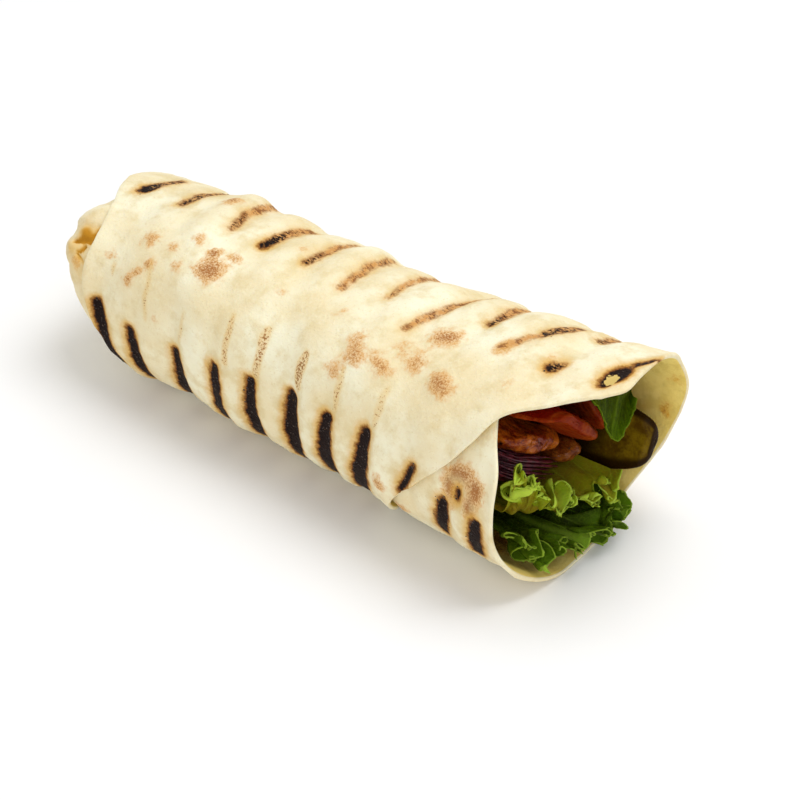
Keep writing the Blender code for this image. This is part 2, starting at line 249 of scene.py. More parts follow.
    def body(self, roll_angle: np.ndarray, along: np.ndarray) -> np.ndarray:
        """Points of the sheet's outer face along the body of the roll."""
        side_angle = -roll_angle
        across_unit, height_unit = self.direction(side_angle)
        half_width, half_height = self.half_sizes(along)
        inset = self.inset(roll_angle, along)
        growth = self.unevenness(along, side_angle) + self.lift(roll_angle, along) - inset
        across = (half_width + growth) * across_unit
        height = half_height - self.base_sink + (half_height + growth) * height_unit
        along = np.broadcast_to(along, across.shape)
        return np.stack([along, across, np.maximum(height, inset)], axis=-1)

    def cap(self, roll_angle: np.ndarray, bend: np.ndarray) -> np.ndarray:
        """Points of the outer face where the sheet folds over the closed end."""
        start = np.broadcast_to(curve_value(self.closed_rim, roll_angle), np.broadcast(roll_angle, bend).shape)
        rim = self.body(roll_angle, start)
        inset = self.inset(roll_angle, start)
        side_angle = np.radians(-roll_angle)
        centre = self.half_sizes(start)[1] - self.base_sink + self.slit_rise
        slit_across = self.slit_shift - self.slit_half_width * np.cos(side_angle)
        slit_height = centre + self.slit_half_height * np.sin(side_angle)
        turn = bend * self.cap_closure * math.pi / 2.0
        fullness = self.cap_fullness + self.cap_lower_taper * np.maximum(-np.sin(side_angle), 0.0)
        shrink = np.cos(turn) ** fullness
        pleat = self.pleat_depth * np.sin(2.0 * turn) * np.cos(self.pleat_count * side_angle)
        along = start - (start - self.cap_tip - inset) * np.sin(turn) + pleat
        across = rim[..., 1] * shrink + slit_across * (1.0 - shrink)
        height = rim[..., 2] * shrink + slit_height * (1.0 - shrink)
        return np.stack([along, across, height], axis=-1)

    def sheet(self, roll_angle: np.ndarray, part: np.ndarray) -> tuple[np.ndarray, np.ndarray]:
        """Points of the sheet's outer face.

        Args:
            roll_angle: Angles, one for each column of the grid.
            part: Parts from the closed end to the mouth, one for each row.

        Returns:
            The points, and the place of each along the unrolled sheet.
        """
        angle = roll_angle[:, None]
        reach = 1.0 - smooth_step(self.cap_full_until, self.cap_none_from, angle)
        start = curve_value(self.closed_rim, angle)
        end = curve_value(self.mouth_rim, angle)
        cap_length = self.cap_arc * reach
        travelled = part[None, :] * (cap_length + end - start)
        bend = np.clip((cap_length - travelled) / self.cap_arc, 0.0, 1.0)
        along = start + travelled - cap_length
        body = self.body(angle, np.maximum(along, start))
        cap = self.cap(angle, bend)
        points = np.where((travelled < cap_length)[..., None], cap, body)
        return points, along

    def cavity(self, along: Any, across_unit: Any, height_unit: Any) -> np.ndarray:
        """Points of the cavity from their places on the unit disc."""
        half_width, half_height = self.half_sizes(along)
        across = (half_width - self.cavity_inset) * across_unit
        height = half_height - self.base_sink + (half_height - self.cavity_inset) * height_unit
        along = np.broadcast_to(along, np.broadcast(across, height).shape)
        return np.stack([along, across, height], axis=-1)


ROLL = RollShape()


# Meshes


def new_mesh(name: str, points: np.ndarray, faces: list[tuple[int, ...]], materials: Sequence[bpy.types.Material],
             slots: np.ndarray | None = None, fields: dict[str, np.ndarray] | None = None) -> bpy.types.Object:
    """Make a smooth object from roll places, with its faces pointing out.

    Args:
        name: Name of the piece.
        points: Roll places in millimetres.
        faces: Vertex numbers of each face.
        materials: Finishes, in the order of their slots.
        slots: Slot of each face.
        fields: Values on the points, for the finishes.

    Returns:
        The new object.
    """
    mesh = bpy.data.meshes.new(name)
    mesh.from_pydata(ROLL.placed(points).tolist(), [], faces)
    for material in materials:
        mesh.materials.append(material)
    if slots is not None:
        mesh.polygons.foreach_set("material_index", slots.astype(np.int32))
    for label, values in (fields or {}).items():
        layer = mesh.attributes.new(label, "FLOAT", "POINT")
        layer.data.foreach_set("value", values.astype(np.float32).ravel())
    mesh.shade_smooth()
    bm = bmesh.new()
    bm.from_mesh(mesh)
    if bm.calc_volume(signed=True) < 0.0:
        bmesh.ops.reverse_faces(bm, faces=bm.faces)
        bm.to_mesh(mesh)
    bm.free()
    piece = bpy.data.objects.new(name, mesh)
    bpy.context.scene.collection.objects.link(piece)
    return piece


def grid_faces(columns: int, rows: int, offset: int, turned: bool) -> np.ndarray:
    """Quads of a grid of points; turned faces the other way."""
    first = offset + np.arange((columns - 1) * rows).reshape(columns - 1, rows)[:, :-1]
    corners = (first, first + rows, first + rows + 1, first + 1)
    quads = np.stack([corner.ravel() for corner in corners], axis=1)
    return quads[:, ::-1] if turned else quads


def walled_sheet(name: str, outer: np.ndarray, inner: np.ndarray, rim_steps: int, rim_bulge: float,
                 materials: Sequence[bpy.types.Material], outer_fields: dict[str, np.ndarray],
                 inner_fields: dict[str, np.ndarray] | None = None) -> bpy.types.Object:
    """Close two faces of a sheet with a rounded rim.

    Args:
        name: Name of the piece.
        outer: Grid of points of the outer face.
        inner: Grid of points of the inner face.
        rim_steps: Rings of points between the two faces.
        rim_bulge: How far the rim stands out, in half thicknesses.
        materials: Finishes of the outer face, the inner face and the rim.
        outer_fields: Values on the outer face.
        inner_fields: Values on the inner face; the outer ones where not given.

    Returns:
        The new object.
    """
    columns, rows = outer.shape[:2]
    count = columns * rows
    number = np.arange(count).reshape(columns, rows)
    loop = np.concatenate([number[:, 0], number[-1, 1:], number[-2::-1, -1], number[0, -2:0:-1]])
    inward = np.concatenate([number[:, 1], number[-2, 1:], number[-2::-1, -2], number[1, -2:0:-1]])
    flat_outer, flat_inner = outer.reshape(-1, 3), inner.reshape(-1, 3)
    away = unit(flat_outer[loop] - flat_outer[inward])
    middle = 0.5 * (flat_outer[loop] + flat_inner[loop])
    half = 0.5 * (flat_outer[loop] - flat_inner[loop])
    bulge = np.linalg.norm(half, axis=1, keepdims=True) * rim_bulge
    rings = []
    for step in range(1, rim_steps + 1):
        turn = math.pi * step / (rim_steps + 1)
        rings.append(middle + half * math.cos(turn) + away * bulge * math.sin(turn))
    points = np.concatenate([flat_outer, flat_inner] + rings)
    ring_numbers = [loop] + [2 * count + step * len(loop) + np.arange(len(loop)) for step in range(rim_steps)]
    ring_numbers.append(loop + count)
    faces = [grid_faces(columns, rows, 0, False), grid_faces(columns, rows, count, True)]
    for near, far in zip(ring_numbers[:-1], ring_numbers[1:]):
        faces.append(np.stack([near, far, np.roll(far, -1), np.roll(near, -1)], axis=1))
    sizes = [len(quads) for quads in faces]
    slots = np.concatenate([np.zeros(sizes[0]), np.ones(sizes[1]), np.full(sum(sizes[2:]), 2)])
    slots = np.minimum(slots, len(materials) - 1)
    inner_fields = inner_fields or {}
    fields = {}
    for label, values in outer_fields.items():
        flat = values.ravel()
        inside = inner_fields.get(label, values).ravel()
        fields[label] = np.concatenate([flat, inside] + [flat[loop]] * rim_steps)
    return new_mesh(name, points, np.concatenate(faces).tolist(), materials, slots, fields)


def round_body(name: str, points: np.ndarray, first_pole: np.ndarray, last_pole: np.ndarray,
               material: bpy.types.Material, fields: dict[str, np.ndarray]) -> bpy.types.Object:
    """Close a tube of rings with a pole at each end.

    Args:
        name: Name of the piece.
        points: Rings of points, ring by ring.
        first_pole: Point before the first ring.
        last_pole: Point after the last ring.
        material: Finish.
        fields: Values on the rings' points; a pole takes the mean of its ring.

    Returns:
        The new object.
    """
    rings, sides = points.shape[:2]
    flat = np.concatenate([points.reshape(-1, 3), first_pole[None], last_pole[None]])
    number = np.arange(rings * sides).reshape(rings, sides)
    after = np.roll(number, -1, axis=1)
    quads = np.stack([number[:-1].ravel(), number[1:].ravel(), after[1:].ravel(), after[:-1].ravel()], axis=1)
    faces = quads.tolist()
    first, last = rings * sides, rings * sides + 1
    faces += [(first, int(a), int(b)) for a, b in zip(number[0], after[0])]
    faces += [(last, int(b), int(a)) for a, b in zip(number[-1], after[-1])]
    values = {label: np.concatenate([grid.ravel(), [grid[0].mean(), grid[-1].mean()]])
              for label, grid in fields.items()}
    return new_mesh(name, flat, faces, [material], None, values)


# Node trees


class Value:
    """Value of a node tree that takes part in ordinary maths."""

    def __init__(self, tree: "Tree", socket: bpy.types.NodeSocket) -> None:
        """Keep the socket and the tree that it stands in."""
        self.tree = tree
        self.socket = socket

    def __add__(self, other: Any) -> "Value":
        """Sum."""
        return self.tree.maths("ADD", self, other)

    __radd__ = __add__

    def __sub__(self, other: Any) -> "Value":
        """Difference."""
        return self.tree.maths("SUBTRACT", self, other)

    def __rsub__(self, other: Any) -> "Value":
        """Difference from a number."""
        return self.tree.maths("SUBTRACT", other, self)

    def __mul__(self, other: Any) -> "Value":
        """Product."""
        return self.tree.maths("MULTIPLY", self, other)

    __rmul__ = __mul__

    def __truediv__(self, other: Any) -> "Value":
        """Quotient."""
        return self.tree.maths("DIVIDE", self, other)

    def __rtruediv__(self, other: Any) -> "Value":
        """Quotient of a number."""
        return self.tree.maths("DIVIDE", other, self)

    def __pow__(self, other: Any) -> "Value":
        """Power."""
        return self.tree.maths("POWER", self, other)

    def step(self, low: float, high: float) -> "Value":
        """Smooth rise from 0 at low to 1 at high."""
        made = self.tree.node("ShaderNodeMapRange", {"interpolation_type": "SMOOTHSTEP"},
                              {"Value": self, "From Min": low, "From Max": high})
        return Value(self.tree, made.outputs["Result"])

    def sine(self) -> "Value":
        """Sine of an angle in radians."""
        return self.tree.maths("SINE", self)


class Tree:
    """Node tree that is built by calls."""

    def __init__(self, nodes: bpy.types.NodeTree) -> None:
        """Keep the tree."""
        self.nodes = nodes

    def node(self, kind: str, settings: dict[str, Any] | None = None,
             values: dict[Any, Any] | None = None) -> bpy.types.Node:
        """Add one node.

        Args:
            kind: The node's type.
            settings: Properties that are set first.
            values: Numbers, colours or links of its sockets, by name or number.

        Returns:
            The new node.
        """
        made = self.nodes.nodes.new(kind)
        for label, setting in (settings or {}).items():
            setattr(made, label, setting)
        for label, value in (values or {}).items():
            self.feed(made.inputs[label], value)
        return made

    def feed(self, socket: bpy.types.NodeSocket, value: Any) -> None:
        """Link a value to a socket, or set it there."""
        if isinstance(value, Value):
            self.nodes.links.new(value.socket, socket)
        elif isinstance(value, tuple) and len(value) == 3 and socket.type == "RGBA":
            socket.default_value = (*value, 1.0)
        else:
            socket.default_value = value

    def maths(self, operation: str, *values: Any) -> Value:
        """Result of a Math node."""
        made = self.node("ShaderNodeMath", {"operation": operation}, dict(enumerate(values)))
        return Value(self, made.outputs[0])

    def vector(self, operation: str, *values: Any) -> Value:
        """Result of a Vector Math node."""
        made = self.node("ShaderNodeVectorMath", {"operation": operation}, dict(enumerate(values)))
        return Value(self, made.outputs["Vector"])

    def scaled(self, vector: Value, factor: Any) -> Value:
        """Vector times a number."""
        made = self.node("ShaderNodeVectorMath", {"operation": "SCALE"}, {0: vector, "Scale": factor})
        return Value(self, made.outputs["Vector"])


class Paint(Tree):
    """Shader tree of one finish."""

    def __init__(self, name: str) -> None:
        """Start a material with an empty tree but for its shader and output."""
        self.material = bpy.data.materials.new(name)
        self.material.use_nodes = True
        super().__init__(self.material.node_tree)
        self.shader = self.nodes.nodes["Principled BSDF"]
        self.place = Value(self, self.node("ShaderNodeTexCoord").outputs["Object"])

    def blend(self, factor: Any, first: Any, second: Any) -> Value:
        """Mix of two colours."""
        made = self.node("ShaderNodeMix", {"data_type": "RGBA", "clamp_factor": True},
                         {0: factor, 6: first, 7: second})
        return Value(self, made.outputs[2])

    def field(self, name: str) -> Value:
        """Value that the mesh carries on its points."""
        made = self.node("ShaderNodeAttribute", {"attribute_name": name})
        return Value(self, made.outputs["Fac"])

    def noise(self, grain: float, detail: float = 2.0, roughness: float = 0.5,
              stretch: Colour = (1.0, 1.0, 1.0), shift: Colour = (0.0, 0.0, 0.0)) -> Value:
        """Noise with humps of a size.

        Args:
            grain: Size of a hump in millimetres.
            detail: Finer layers.
            roughness: Strength of the finer layers.
            stretch: Scale along each axis.
            shift: Place of the pattern in metres.

        Returns:
            Values around 0.5.
        """
        mapped = self.node("ShaderNodeMapping", {}, {"Vector": self.place, "Location": shift, "Scale": stretch})
        made = self.node("ShaderNodeTexNoise", {}, {
            "Vector": Value(self, mapped.outputs[0]), "Scale": 1.0 / (grain * MM), "Detail": detail,
            "Roughness": roughness})
        return Value(self, made.outputs[0])

    def cells(self, grain: float, feature: str = "F1") -> Value:
        """Cell pattern with cells of a size in millimetres."""
        made = self.node("ShaderNodeTexVoronoi", {"feature": feature},
                         {"Vector": self.place, "Scale": 1.0 / (grain * MM)})
        return Value(self, made.outputs["Distance"])

    def bump(self, height: Value, distance: float, strength: float = 1.0, below: Value | None = None) -> Value:
        """Normals of a fine relief; distance is its height in millimetres."""
        values = {"Height": height, "Distance": distance * MM, "Strength": strength}
        if below is not None:
            values["Normal"] = below
        return Value(self, self.node("ShaderNodeBump", {}, values).outputs[0])

    def finish(self, colour: Any, roughness: Any, normal: Value | None = None,
               steady: dict[str, Any] | None = None) -> bpy.types.Material:
        """Feed the shader.

        Args:
            colour: Base colour.
            roughness: Roughness.
            normal: Normals of the relief.
            steady: Values that are the same all over.

        Returns:
            The finished material.
        """
        self.feed(self.shader.inputs["Base Color"], colour)
        self.feed(self.shader.inputs["Roughness"], roughness)
        if normal is not None:
            self.feed(self.shader.inputs["Normal"], normal)
        for label, value in (steady or {}).items():
            self.feed(self.shader.inputs[label], value)
        return self.material


class Former(Tree):
    """Geometry tree that turns one mesh into another."""

    def __init__(self, name: str, inputs: dict[str, str]) -> None:
        """Start a tree with named inputs.

        Args:
            name: Name of the tree.
            inputs: Socket type of each input.
        """
        group = bpy.data.node_groups.new(name, "GeometryNodeTree")
        super().__init__(group)
        group.interface.new_socket("Geometry", in_out="INPUT", socket_type="NodeSocketGeometry")
        group.interface.new_socket("Geometry", in_out="OUTPUT", socket_type="NodeSocketGeometry")
        self.keys = {}
        for label, kind in {**inputs, "Material": "NodeSocketMaterial"}.items():
            self.keys[label] = group.interface.new_socket(label, in_out="INPUT", socket_type=kind).identifier
        self.entry = self.node("NodeGroupInput")

    def given(self, label: str) -> Value:
        """One of the tree's inputs."""
        return Value(self, self.entry.outputs[label])

    def field(self, name: str, kind: str = "FLOAT") -> Value:
        """Value that the mesh carries on its points."""
        made = self.node("GeometryNodeInputNamedAttribute", {"data_type": kind}, {"Name": name})
        return Value(self, made.outputs["Attribute"])

    def ripple(self, across: Value, waves: float, seed: Any) -> Value:
        """Random rise and fall along the edge, around 0.5."""
        at = self.node("ShaderNodeCombineXYZ", {}, {"X": across * waves, "Y": seed, "Z": 0.0})
        made = self.node("ShaderNodeTexNoise", {}, {"Vector": Value(self, at.outputs[0]), "Scale": 1.0,
                                                    "Detail": 1.0})
        return Value(self, made.outputs[0])

    def shape(self, kind: str, settings: dict[str, Any] | None = None,
              values: dict[Any, Any] | None = None) -> Value:
        """First result of a node that makes or changes a shape."""
        return Value(self, self.node(kind, settings, values).outputs[0])

    def close(self, geometry: Value) -> "Former":
        """End the tree: real instances, smooth faces and the material."""
        real = self.shape("GeometryNodeRealizeInstances", {}, {"Geometry": geometry})
        smooth = self.shape("GeometryNodeSetShadeSmooth", {}, {"Geometry": real})
        painted = self.shape("GeometryNodeSetMaterial", {}, {"Geometry": smooth, "Material": self.given("Material")})
        exit_node = self.node("NodeGroupOutput")
        self.nodes.links.new(painted.socket, exit_node.inputs[0])
        return self

    def apply(self, piece: bpy.types.Object, inputs: dict[str, Any], wall: float = 0.0) -> bpy.types.Object:
        """Form a piece and leave it as a plain mesh.

        Args:
            piece: Object whose mesh goes in.
            inputs: Values of the named inputs.
            wall: Thickness in millimetres that an open sheet is given afterwards.

        Returns:
            The same object with its new mesh.
        """
        forming = piece.modifiers.new("forming", "NODES")
        forming.node_group = self.nodes
        for label, value in inputs.items():
            forming[self.keys[label]] = value
        if wall > 0.0:
            thickness = piece.modifiers.new("thickness", "SOLIDIFY")
            thickness.thickness = wall * MM
            thickness.offset = 0.0
        graph = bpy.context.evaluated_depsgraph_get()
        mesh = bpy.data.meshes.new_from_object(piece.evaluated_get(graph), depsgraph=graph)
        piece.modifiers.clear()
        piece.data = mesh
        return piece


def frill_former() -> Former:
    """Tree that curls a leaf's edge into loops."""
    former = Former("leaf_frill", {"Height": "NodeSocketFloat", "Loop": "NodeSocketFloat", "Lobe": "NodeSocketFloat",
                                   "Waves": "NodeSocketFloat", "Seed": "NodeSocketFloat"})
    across, weight = former.field("across"), former.field("frill")
    edge_way, ahead_way = former.field("edge_way", "FLOAT_VECTOR"), former.field("ahead_way", "FLOAT_VECTOR")
    normal = Value(former, former.node("GeometryNodeInputNormal").outputs["Normal"])
    seed, height = former.given("Seed"), former.given("Height")
    uneven = former.ripple(across, 9.0, seed)
    strength = 0.35 + 1.3 * former.ripple(across, 14.0, seed + 7.0)
    phase = across * former.given("Waves") * math.tau + uneven * 7.0
    small = phase * 2.7 + former.ripple(across, 21.0, seed + 3.0) * 5.0
    tiny = phase * 6.1 + former.ripple(across, 33.0, seed + 5.0) * 6.0
    rise = phase.sine() * weight ** 1.5 + small.sine() * weight ** 3.0 * 0.5 + tiny.sine() * weight ** 5.0 * 0.2
    slide = (phase * 2.0).sine() * weight ** 2.0 + (small * 2.0).sine() * weight ** 4.0 * 0.3
    push = (small + 1.3).sine() * weight ** 2.5 * 0.35
    lobe = ((former.ripple(across, 13.0, seed + 9.0) - 0.64) * 3.2 + (phase * 0.5).sine() * 0.35) * weight
    offset = former.vector("ADD", former.scaled(normal, rise * height * strength),
                           former.scaled(edge_way, slide * former.given("Loop") * strength))
    offset = former.vector("ADD", offset, former.scaled(ahead_way, push * height + lobe * former.given("Lobe")))
    geometry = former.shape("GeometryNodeSetPosition", {}, {"Geometry": former.given("Geometry"), "Offset": offset})
    return former.close(geometry)


def strand_former() -> Former:
    """Tree that lays a flattened, tapering strand along each line."""
    former = Former("strand", {"Width": "NodeSocketFloat", "Flatness": "NodeSocketFloat"})
    curve = former.shape("GeometryNodeMeshToCurve", {}, {"Mesh": former.given("Geometry")})
    curve = former.shape("GeometryNodeResampleCurve", {}, {"Curve": curve, "Count": 34})
    part = former.shape("GeometryNodeSplineParameter")
    taper = (part * math.pi).sine() ** 0.45 * former.field("girth")
    ring = former.shape("GeometryNodeCurvePrimitiveCircle", {"mode": "RADIUS"}, {"Resolution": 10, "Radius": 1.0})
    size = former.node("ShaderNodeCombineXYZ", {}, {
        "X": former.given("Width"), "Y": former.given("Width") * former.given("Flatness"), "Z": 1.0})
    ring = former.shape("GeometryNodeTransform", {}, {"Geometry": ring, "Scale": Value(former, size.outputs[0])})
    mesh = former.shape("GeometryNodeCurveToMesh", {}, {"Curve": curve, "Profile Curve": ring, "Scale": taper,
                                                        "Fill Caps": True})
    return former.close(mesh)


def flake_former() -> Former:
    """Tree that scatters flat crumbs where a field of the mesh asks for them."""
    former = Former("flakes", {"Density": "NodeSocketFloat", "Size": "NodeSocketFloat", "Seed": "NodeSocketInt"})
    spread = former.node("GeometryNodeDistributePointsOnFaces", {}, {
        "Mesh": former.given("Geometry"), "Density": former.field("flakes") * former.given("Density"),
        "Seed": former.given("Seed")})
    crumb = former.shape("GeometryNodeMeshIcoSphere", {}, {"Radius": 1.0, "Subdivisions": 1})
    chance = former.node("FunctionNodeRandomValue", {"data_type": "FLOAT_VECTOR"}, {
        "Min": (0.5, 0.4, 0.18), "Max": (1.5, 1.1, 0.45), "Seed": 4})
    size = former.scaled(Value(former, chance.outputs[0]), former.given("Size"))
    placed = former.shape("GeometryNodeInstanceOnPoints", {}, {
        "Points": Value(former, spread.outputs["Points"]), "Instance": crumb,
        "Rotation": Value(former, spread.outputs["Rotation"]), "Scale": size})
    return former.close(placed)


# Finishes


class BreadFace(enum.Enum):
    """Which face of the flatbread a finish is for."""

    OUTER = "outer"
    INNER = "inner"
    RIM = "rim"


@dataclass(frozen=True)
class BreadFinish:
    """Floury flatbread with grill marks, toasted blisters and crisp specks, and painted shade in its pits, on its inner
    face and in the folds of its closed end.
    """

    face: BreadFace
    cream: Colour = (0.86, 0.73, 0.45)
    pale: Colour = (0.95, 0.90, 0.67)
    deep: Colour = (0.74, 0.59, 0.30)
    # Inner face: deep yellow, partly the crumb's own tone and partly painted bounced light in the roll's shade; painted
    # shade in its hollow.
    inside: Colour = (0.93, 0.70, 0.14)
    hollow_shade: Colour = (0.60, 0.40, 0.06)
    bare: Colour = (0.68, 0.50, 0.16)
    gold: Colour = (0.75, 0.42, 0.15)
    glow: Colour = (0.80, 0.55, 0.15)
    russet: Colour = (0.38, 0.14, 0.035)
    amber: Colour = (0.72, 0.38, 0.045)
    singed: Colour = (0.26, 0.085, 0.008)
    tan: Colour = (0.62, 0.29, 0.08)
    brown: Colour = (0.18, 0.055, 0.014)
    char: Colour = (0.010, 0.003, 0.002)
    ash: Colour = (0.15, 0.11, 0.08)
    # Painted shade in the folds of the closed end: amber, and deep brown in their darkest valleys.
    shaded_fold: Colour = (0.78, 0.44, 0.05)
    valley_shadow: Colour = (0.48, 0.20, 0.010)

    def make(self) -> bpy.types.Material:
        """Build the material."""
        paint = Paint("bread_" + self.face.value)
        grain = paint.noise(0.9, 2.0, 0.65, shift=(0.3, 0.0, 0.2))
        ragged = paint.noise(2.4, 3.0, 0.6, shift=(0.0, 0.4, 0.1))
        mottle = paint.noise(7.0, 4.0, 0.6, shift=(0.2, 0.1, 0.0))
        flour = paint.noise(1.3, 3.0, 0.7)
        base = self.dough(paint, mottle, flour)
        base = self.toasted(paint, base, grain, ragged)
        base, core = self.burnt(paint, base, grain, ragged, mottle)
        # Painted shade: amber in the folds of the closed end, deep brown where it is darkest.
        fold_shadow = paint.field("fold_shadow")
        base = paint.blend(fold_shadow, base, self.shaded_fold)
        base = paint.blend(fold_shadow.step(0.6, 1.0) * 0.85, base, self.valley_shadow)
        low = paint.bump(mottle, 0.8, 0.6)
        fine = paint.bump(flour + grain * 0.6 + core * grain, 0.3, 0.8, low)
        return paint.finish(base, 0.72 - core * 0.12, fine, {
            "Subsurface Weight": 0.06, "Subsurface Radius": (1.0, 0.7, 0.3), "Subsurface Scale": 0.002,
            "Specular IOR Level": 0.10})

    def dough(self, paint: Paint, mottle: Value, flour: Value) -> Value:
        """Cream ground with pale flour, deeper patches and small pits painted darker as their shade; the inner face
        gets painted bounced light and shade.
        """
        broad = paint.noise(28.0, 3.0, 0.55)
        base = paint.blend(broad.step(0.35, 0.7), self.cream, self.pale)
        base = paint.blend(mottle.step(0.45, 0.75) * 0.6, base, self.deep)
        base = paint.blend(flour.step(0.45, 0.8) * 0.4, base, self.pale)
        # Painted shade: small pits darkened in colour, with no relief under them.
        pits = paint.noise(1.0, 1.0, 0.5, shift=(0.7, 0.2, 0.0)).step(0.64, 0.74)
        base = paint.blend(pits * 0.35, base, self.deep)
        # Inner face: the deep yellow is partly the crumb's tone and partly painted bounced light; the mottled darker
        # patches are painted shade.
        if self.face is BreadFace.INNER:
            base = paint.blend(0.82, base, self.inside)
            base = paint.blend(mottle.step(0.42, 0.62) * 0.35, base, self.hollow_shade)
        return base

    def toasted(self, paint: Paint, base: Value, grain: Value, ragged: Value) -> Value:
        """Speckled blisters and the thin dotted streaks above the marks."""
        toast = paint.field("toast")
        dots = paint.noise(0.65, 2.0, 0.6, shift=(0.2, 0.5, 0.1))
        blot = paint.noise(4.0, 3.0, 0.65, shift=(0.6, 0.2, 0.3))
        body = (toast + ((ragged - 0.5) * 1.0 + (blot - 0.5) * 1.7) * toast.step(0.02, 0.3)).step(0.08, 0.8)
        light = self.amber if self.face is BreadFace.INNER else self.gold
        base = paint.blend(body * (0.6 + 0.4 * dots.step(0.35, 0.65)), base, light)
        strong = (toast * 0.85 + (dots - 0.5) * 2.2 + (grain - 0.5) * 0.8).step(0.45, 1.45)
        base = paint.blend(body * strong * 0.9, base, self.russet)
        thread = paint.noise(0.8, 2.0, 0.7, shift=(0.9, 0.0, 0.4))
        streak = paint.field("streak")
        base = paint.blend(streak.step(0.0, 0.6) * 0.35, base, self.glow)
        base = paint.blend(streak.step(0.2, 0.9) * (0.15 + 0.6 * thread.step(0.4, 0.6)), base, self.gold)
        flecks = (streak * 0.9 + (thread - 0.5) * 3.4).step(0.75, 1.1) * streak.step(0.05, 0.3)
        return paint.blend(flecks * 0.8, base, self.singed)

    def burnt(self, paint: Paint, base: Value, grain: Value, ragged: Value, mottle: Value) -> tuple[Value, Value]:
        """Grill marks: amber halo, brown rim and char that is broken where the mark is faint."""
        burn, bare = paint.field("burn"), paint.field("bare")
        hatch = paint.noise(1.5, 3.0, 0.7, stretch=(1.0, 2.0, 1.0), shift=(0.5, 0.0, 0.0))
        edge = paint.field("mark_edge") + (ragged - 0.5) * 2.0 + (grain - 0.5) * 1.0
        strong = burn.step(0.55, 1.0)
        inside = 1.0 - edge.step(-1.1, 1.2)
        near = (1.0 - paint.field("mark_edge").step(0.5, 8.0)) * burn.step(0.2, 0.8)
        base = paint.blend(near * (0.1 + 0.7 * mottle.step(0.38, 0.62)), base, self.deep)
        halo = (1.0 - edge.step(-0.4, 3.8)) * (0.4 + 0.45 * strong) * burn.step(0.0, 0.4)
        base = paint.blend(halo, base, self.amber)
        base = paint.blend((1.0 - edge.step(-0.3, 1.3)) * strong * 0.75, base, self.singed)
        base = paint.blend(inside * burn.step(0.05, 0.4) * (0.9 - 0.7 * strong), base, self.tan)
        patch = paint.noise(3.6, 2.0, 0.6, shift=(0.8, 0.1, 0.5))
        threads = (burn * 0.9 + edge.step(-1.1, -0.3) * 0.25 + (hatch - 0.5) * 2.4 + (patch - 0.5) * 3.4).step(0.4, 0.9)
        base = paint.blend(inside * threads * (0.8 + 0.2 * strong), base, self.brown)
        heat = burn * 1.35 + (hatch - 0.5) * 1.6 + (ragged - 0.5) * 0.7
        core = (1.0 - edge.step(-0.9, 0.1)) * heat.step(0.78, 1.0)
        flaked = (bare + (ragged - 0.5) * 1.1).step(0.42, 0.52)
        core = core * (1.0 - flaked)
        base = paint.blend(flaked, base, self.bare)
        base = paint.blend(core, base, self.char)
        flecks = core * paint.noise(0.55, 2.0, 0.6, shift=(0.1, 0.2, 0.3)).step(0.64, 0.76)
        return paint.blend(flecks * 0.5, base, self.ash), core


@dataclass(frozen=True)
class CrumbFinish:
    """Crisp crumbs of char, or specks of pepper and herb."""

    name: str
    dark: Colour
    light: Colour

    def make(self) -> bpy.types.Material:
        """Build the material."""
        paint = Paint(self.name)
        grain = paint.noise(0.8, 2.0, 0.6)
        base = paint.blend(grain.step(0.35, 0.7), self.dark, self.light)
        return paint.finish(base, 0.45 + grain * 0.3, paint.bump(grain, 0.1, 0.5))


@dataclass(frozen=True)
class ChickenFinish:
    """Chicken under a glossy brown glaze."""

    name: str
    meat: Colour
    glaze: Colour
    dark: Colour = (0.022, 0.004, 0.002)

    def make(self) -> bpy.types.Material:
        """Build the material."""
        paint = Paint(self.name)
        broad = paint.noise(8.0, 3.0, 0.6)
        fibre = paint.noise(1.3, 3.0, 0.6, stretch=(0.6, 1.0, 2.6))
        base = paint.blend((broad + (fibre - 0.5) * 0.5).step(0.36, 0.62), self.glaze, self.meat)
        base = paint.blend(fibre.step(0.56, 0.75) * 0.45, base, self.glaze)
        burnt = paint.field("burnt") + (paint.noise(3.0, 3.0, 0.65, shift=(0.1, 0.3, 0.0)) - 0.5) * 1.3
        base = paint.blend(burnt.step(0.5, 0.85), base, self.dark)
        pits = paint.noise(0.8, 2.0, 0.6, shift=(0.4, 0.1, 0.2))
        normal = paint.bump(fibre + broad + pits * 0.5, 0.9, 0.9)
        return paint.finish(base, 0.2 + fibre * 0.25, normal, {
            "Subsurface Weight": 0.1, "Subsurface Radius": (1.0, 0.35, 0.15), "Subsurface Scale": 0.002,
            "Coat Weight": 0.4, "Coat Roughness": 0.03, "Specular IOR Level": 0.05})


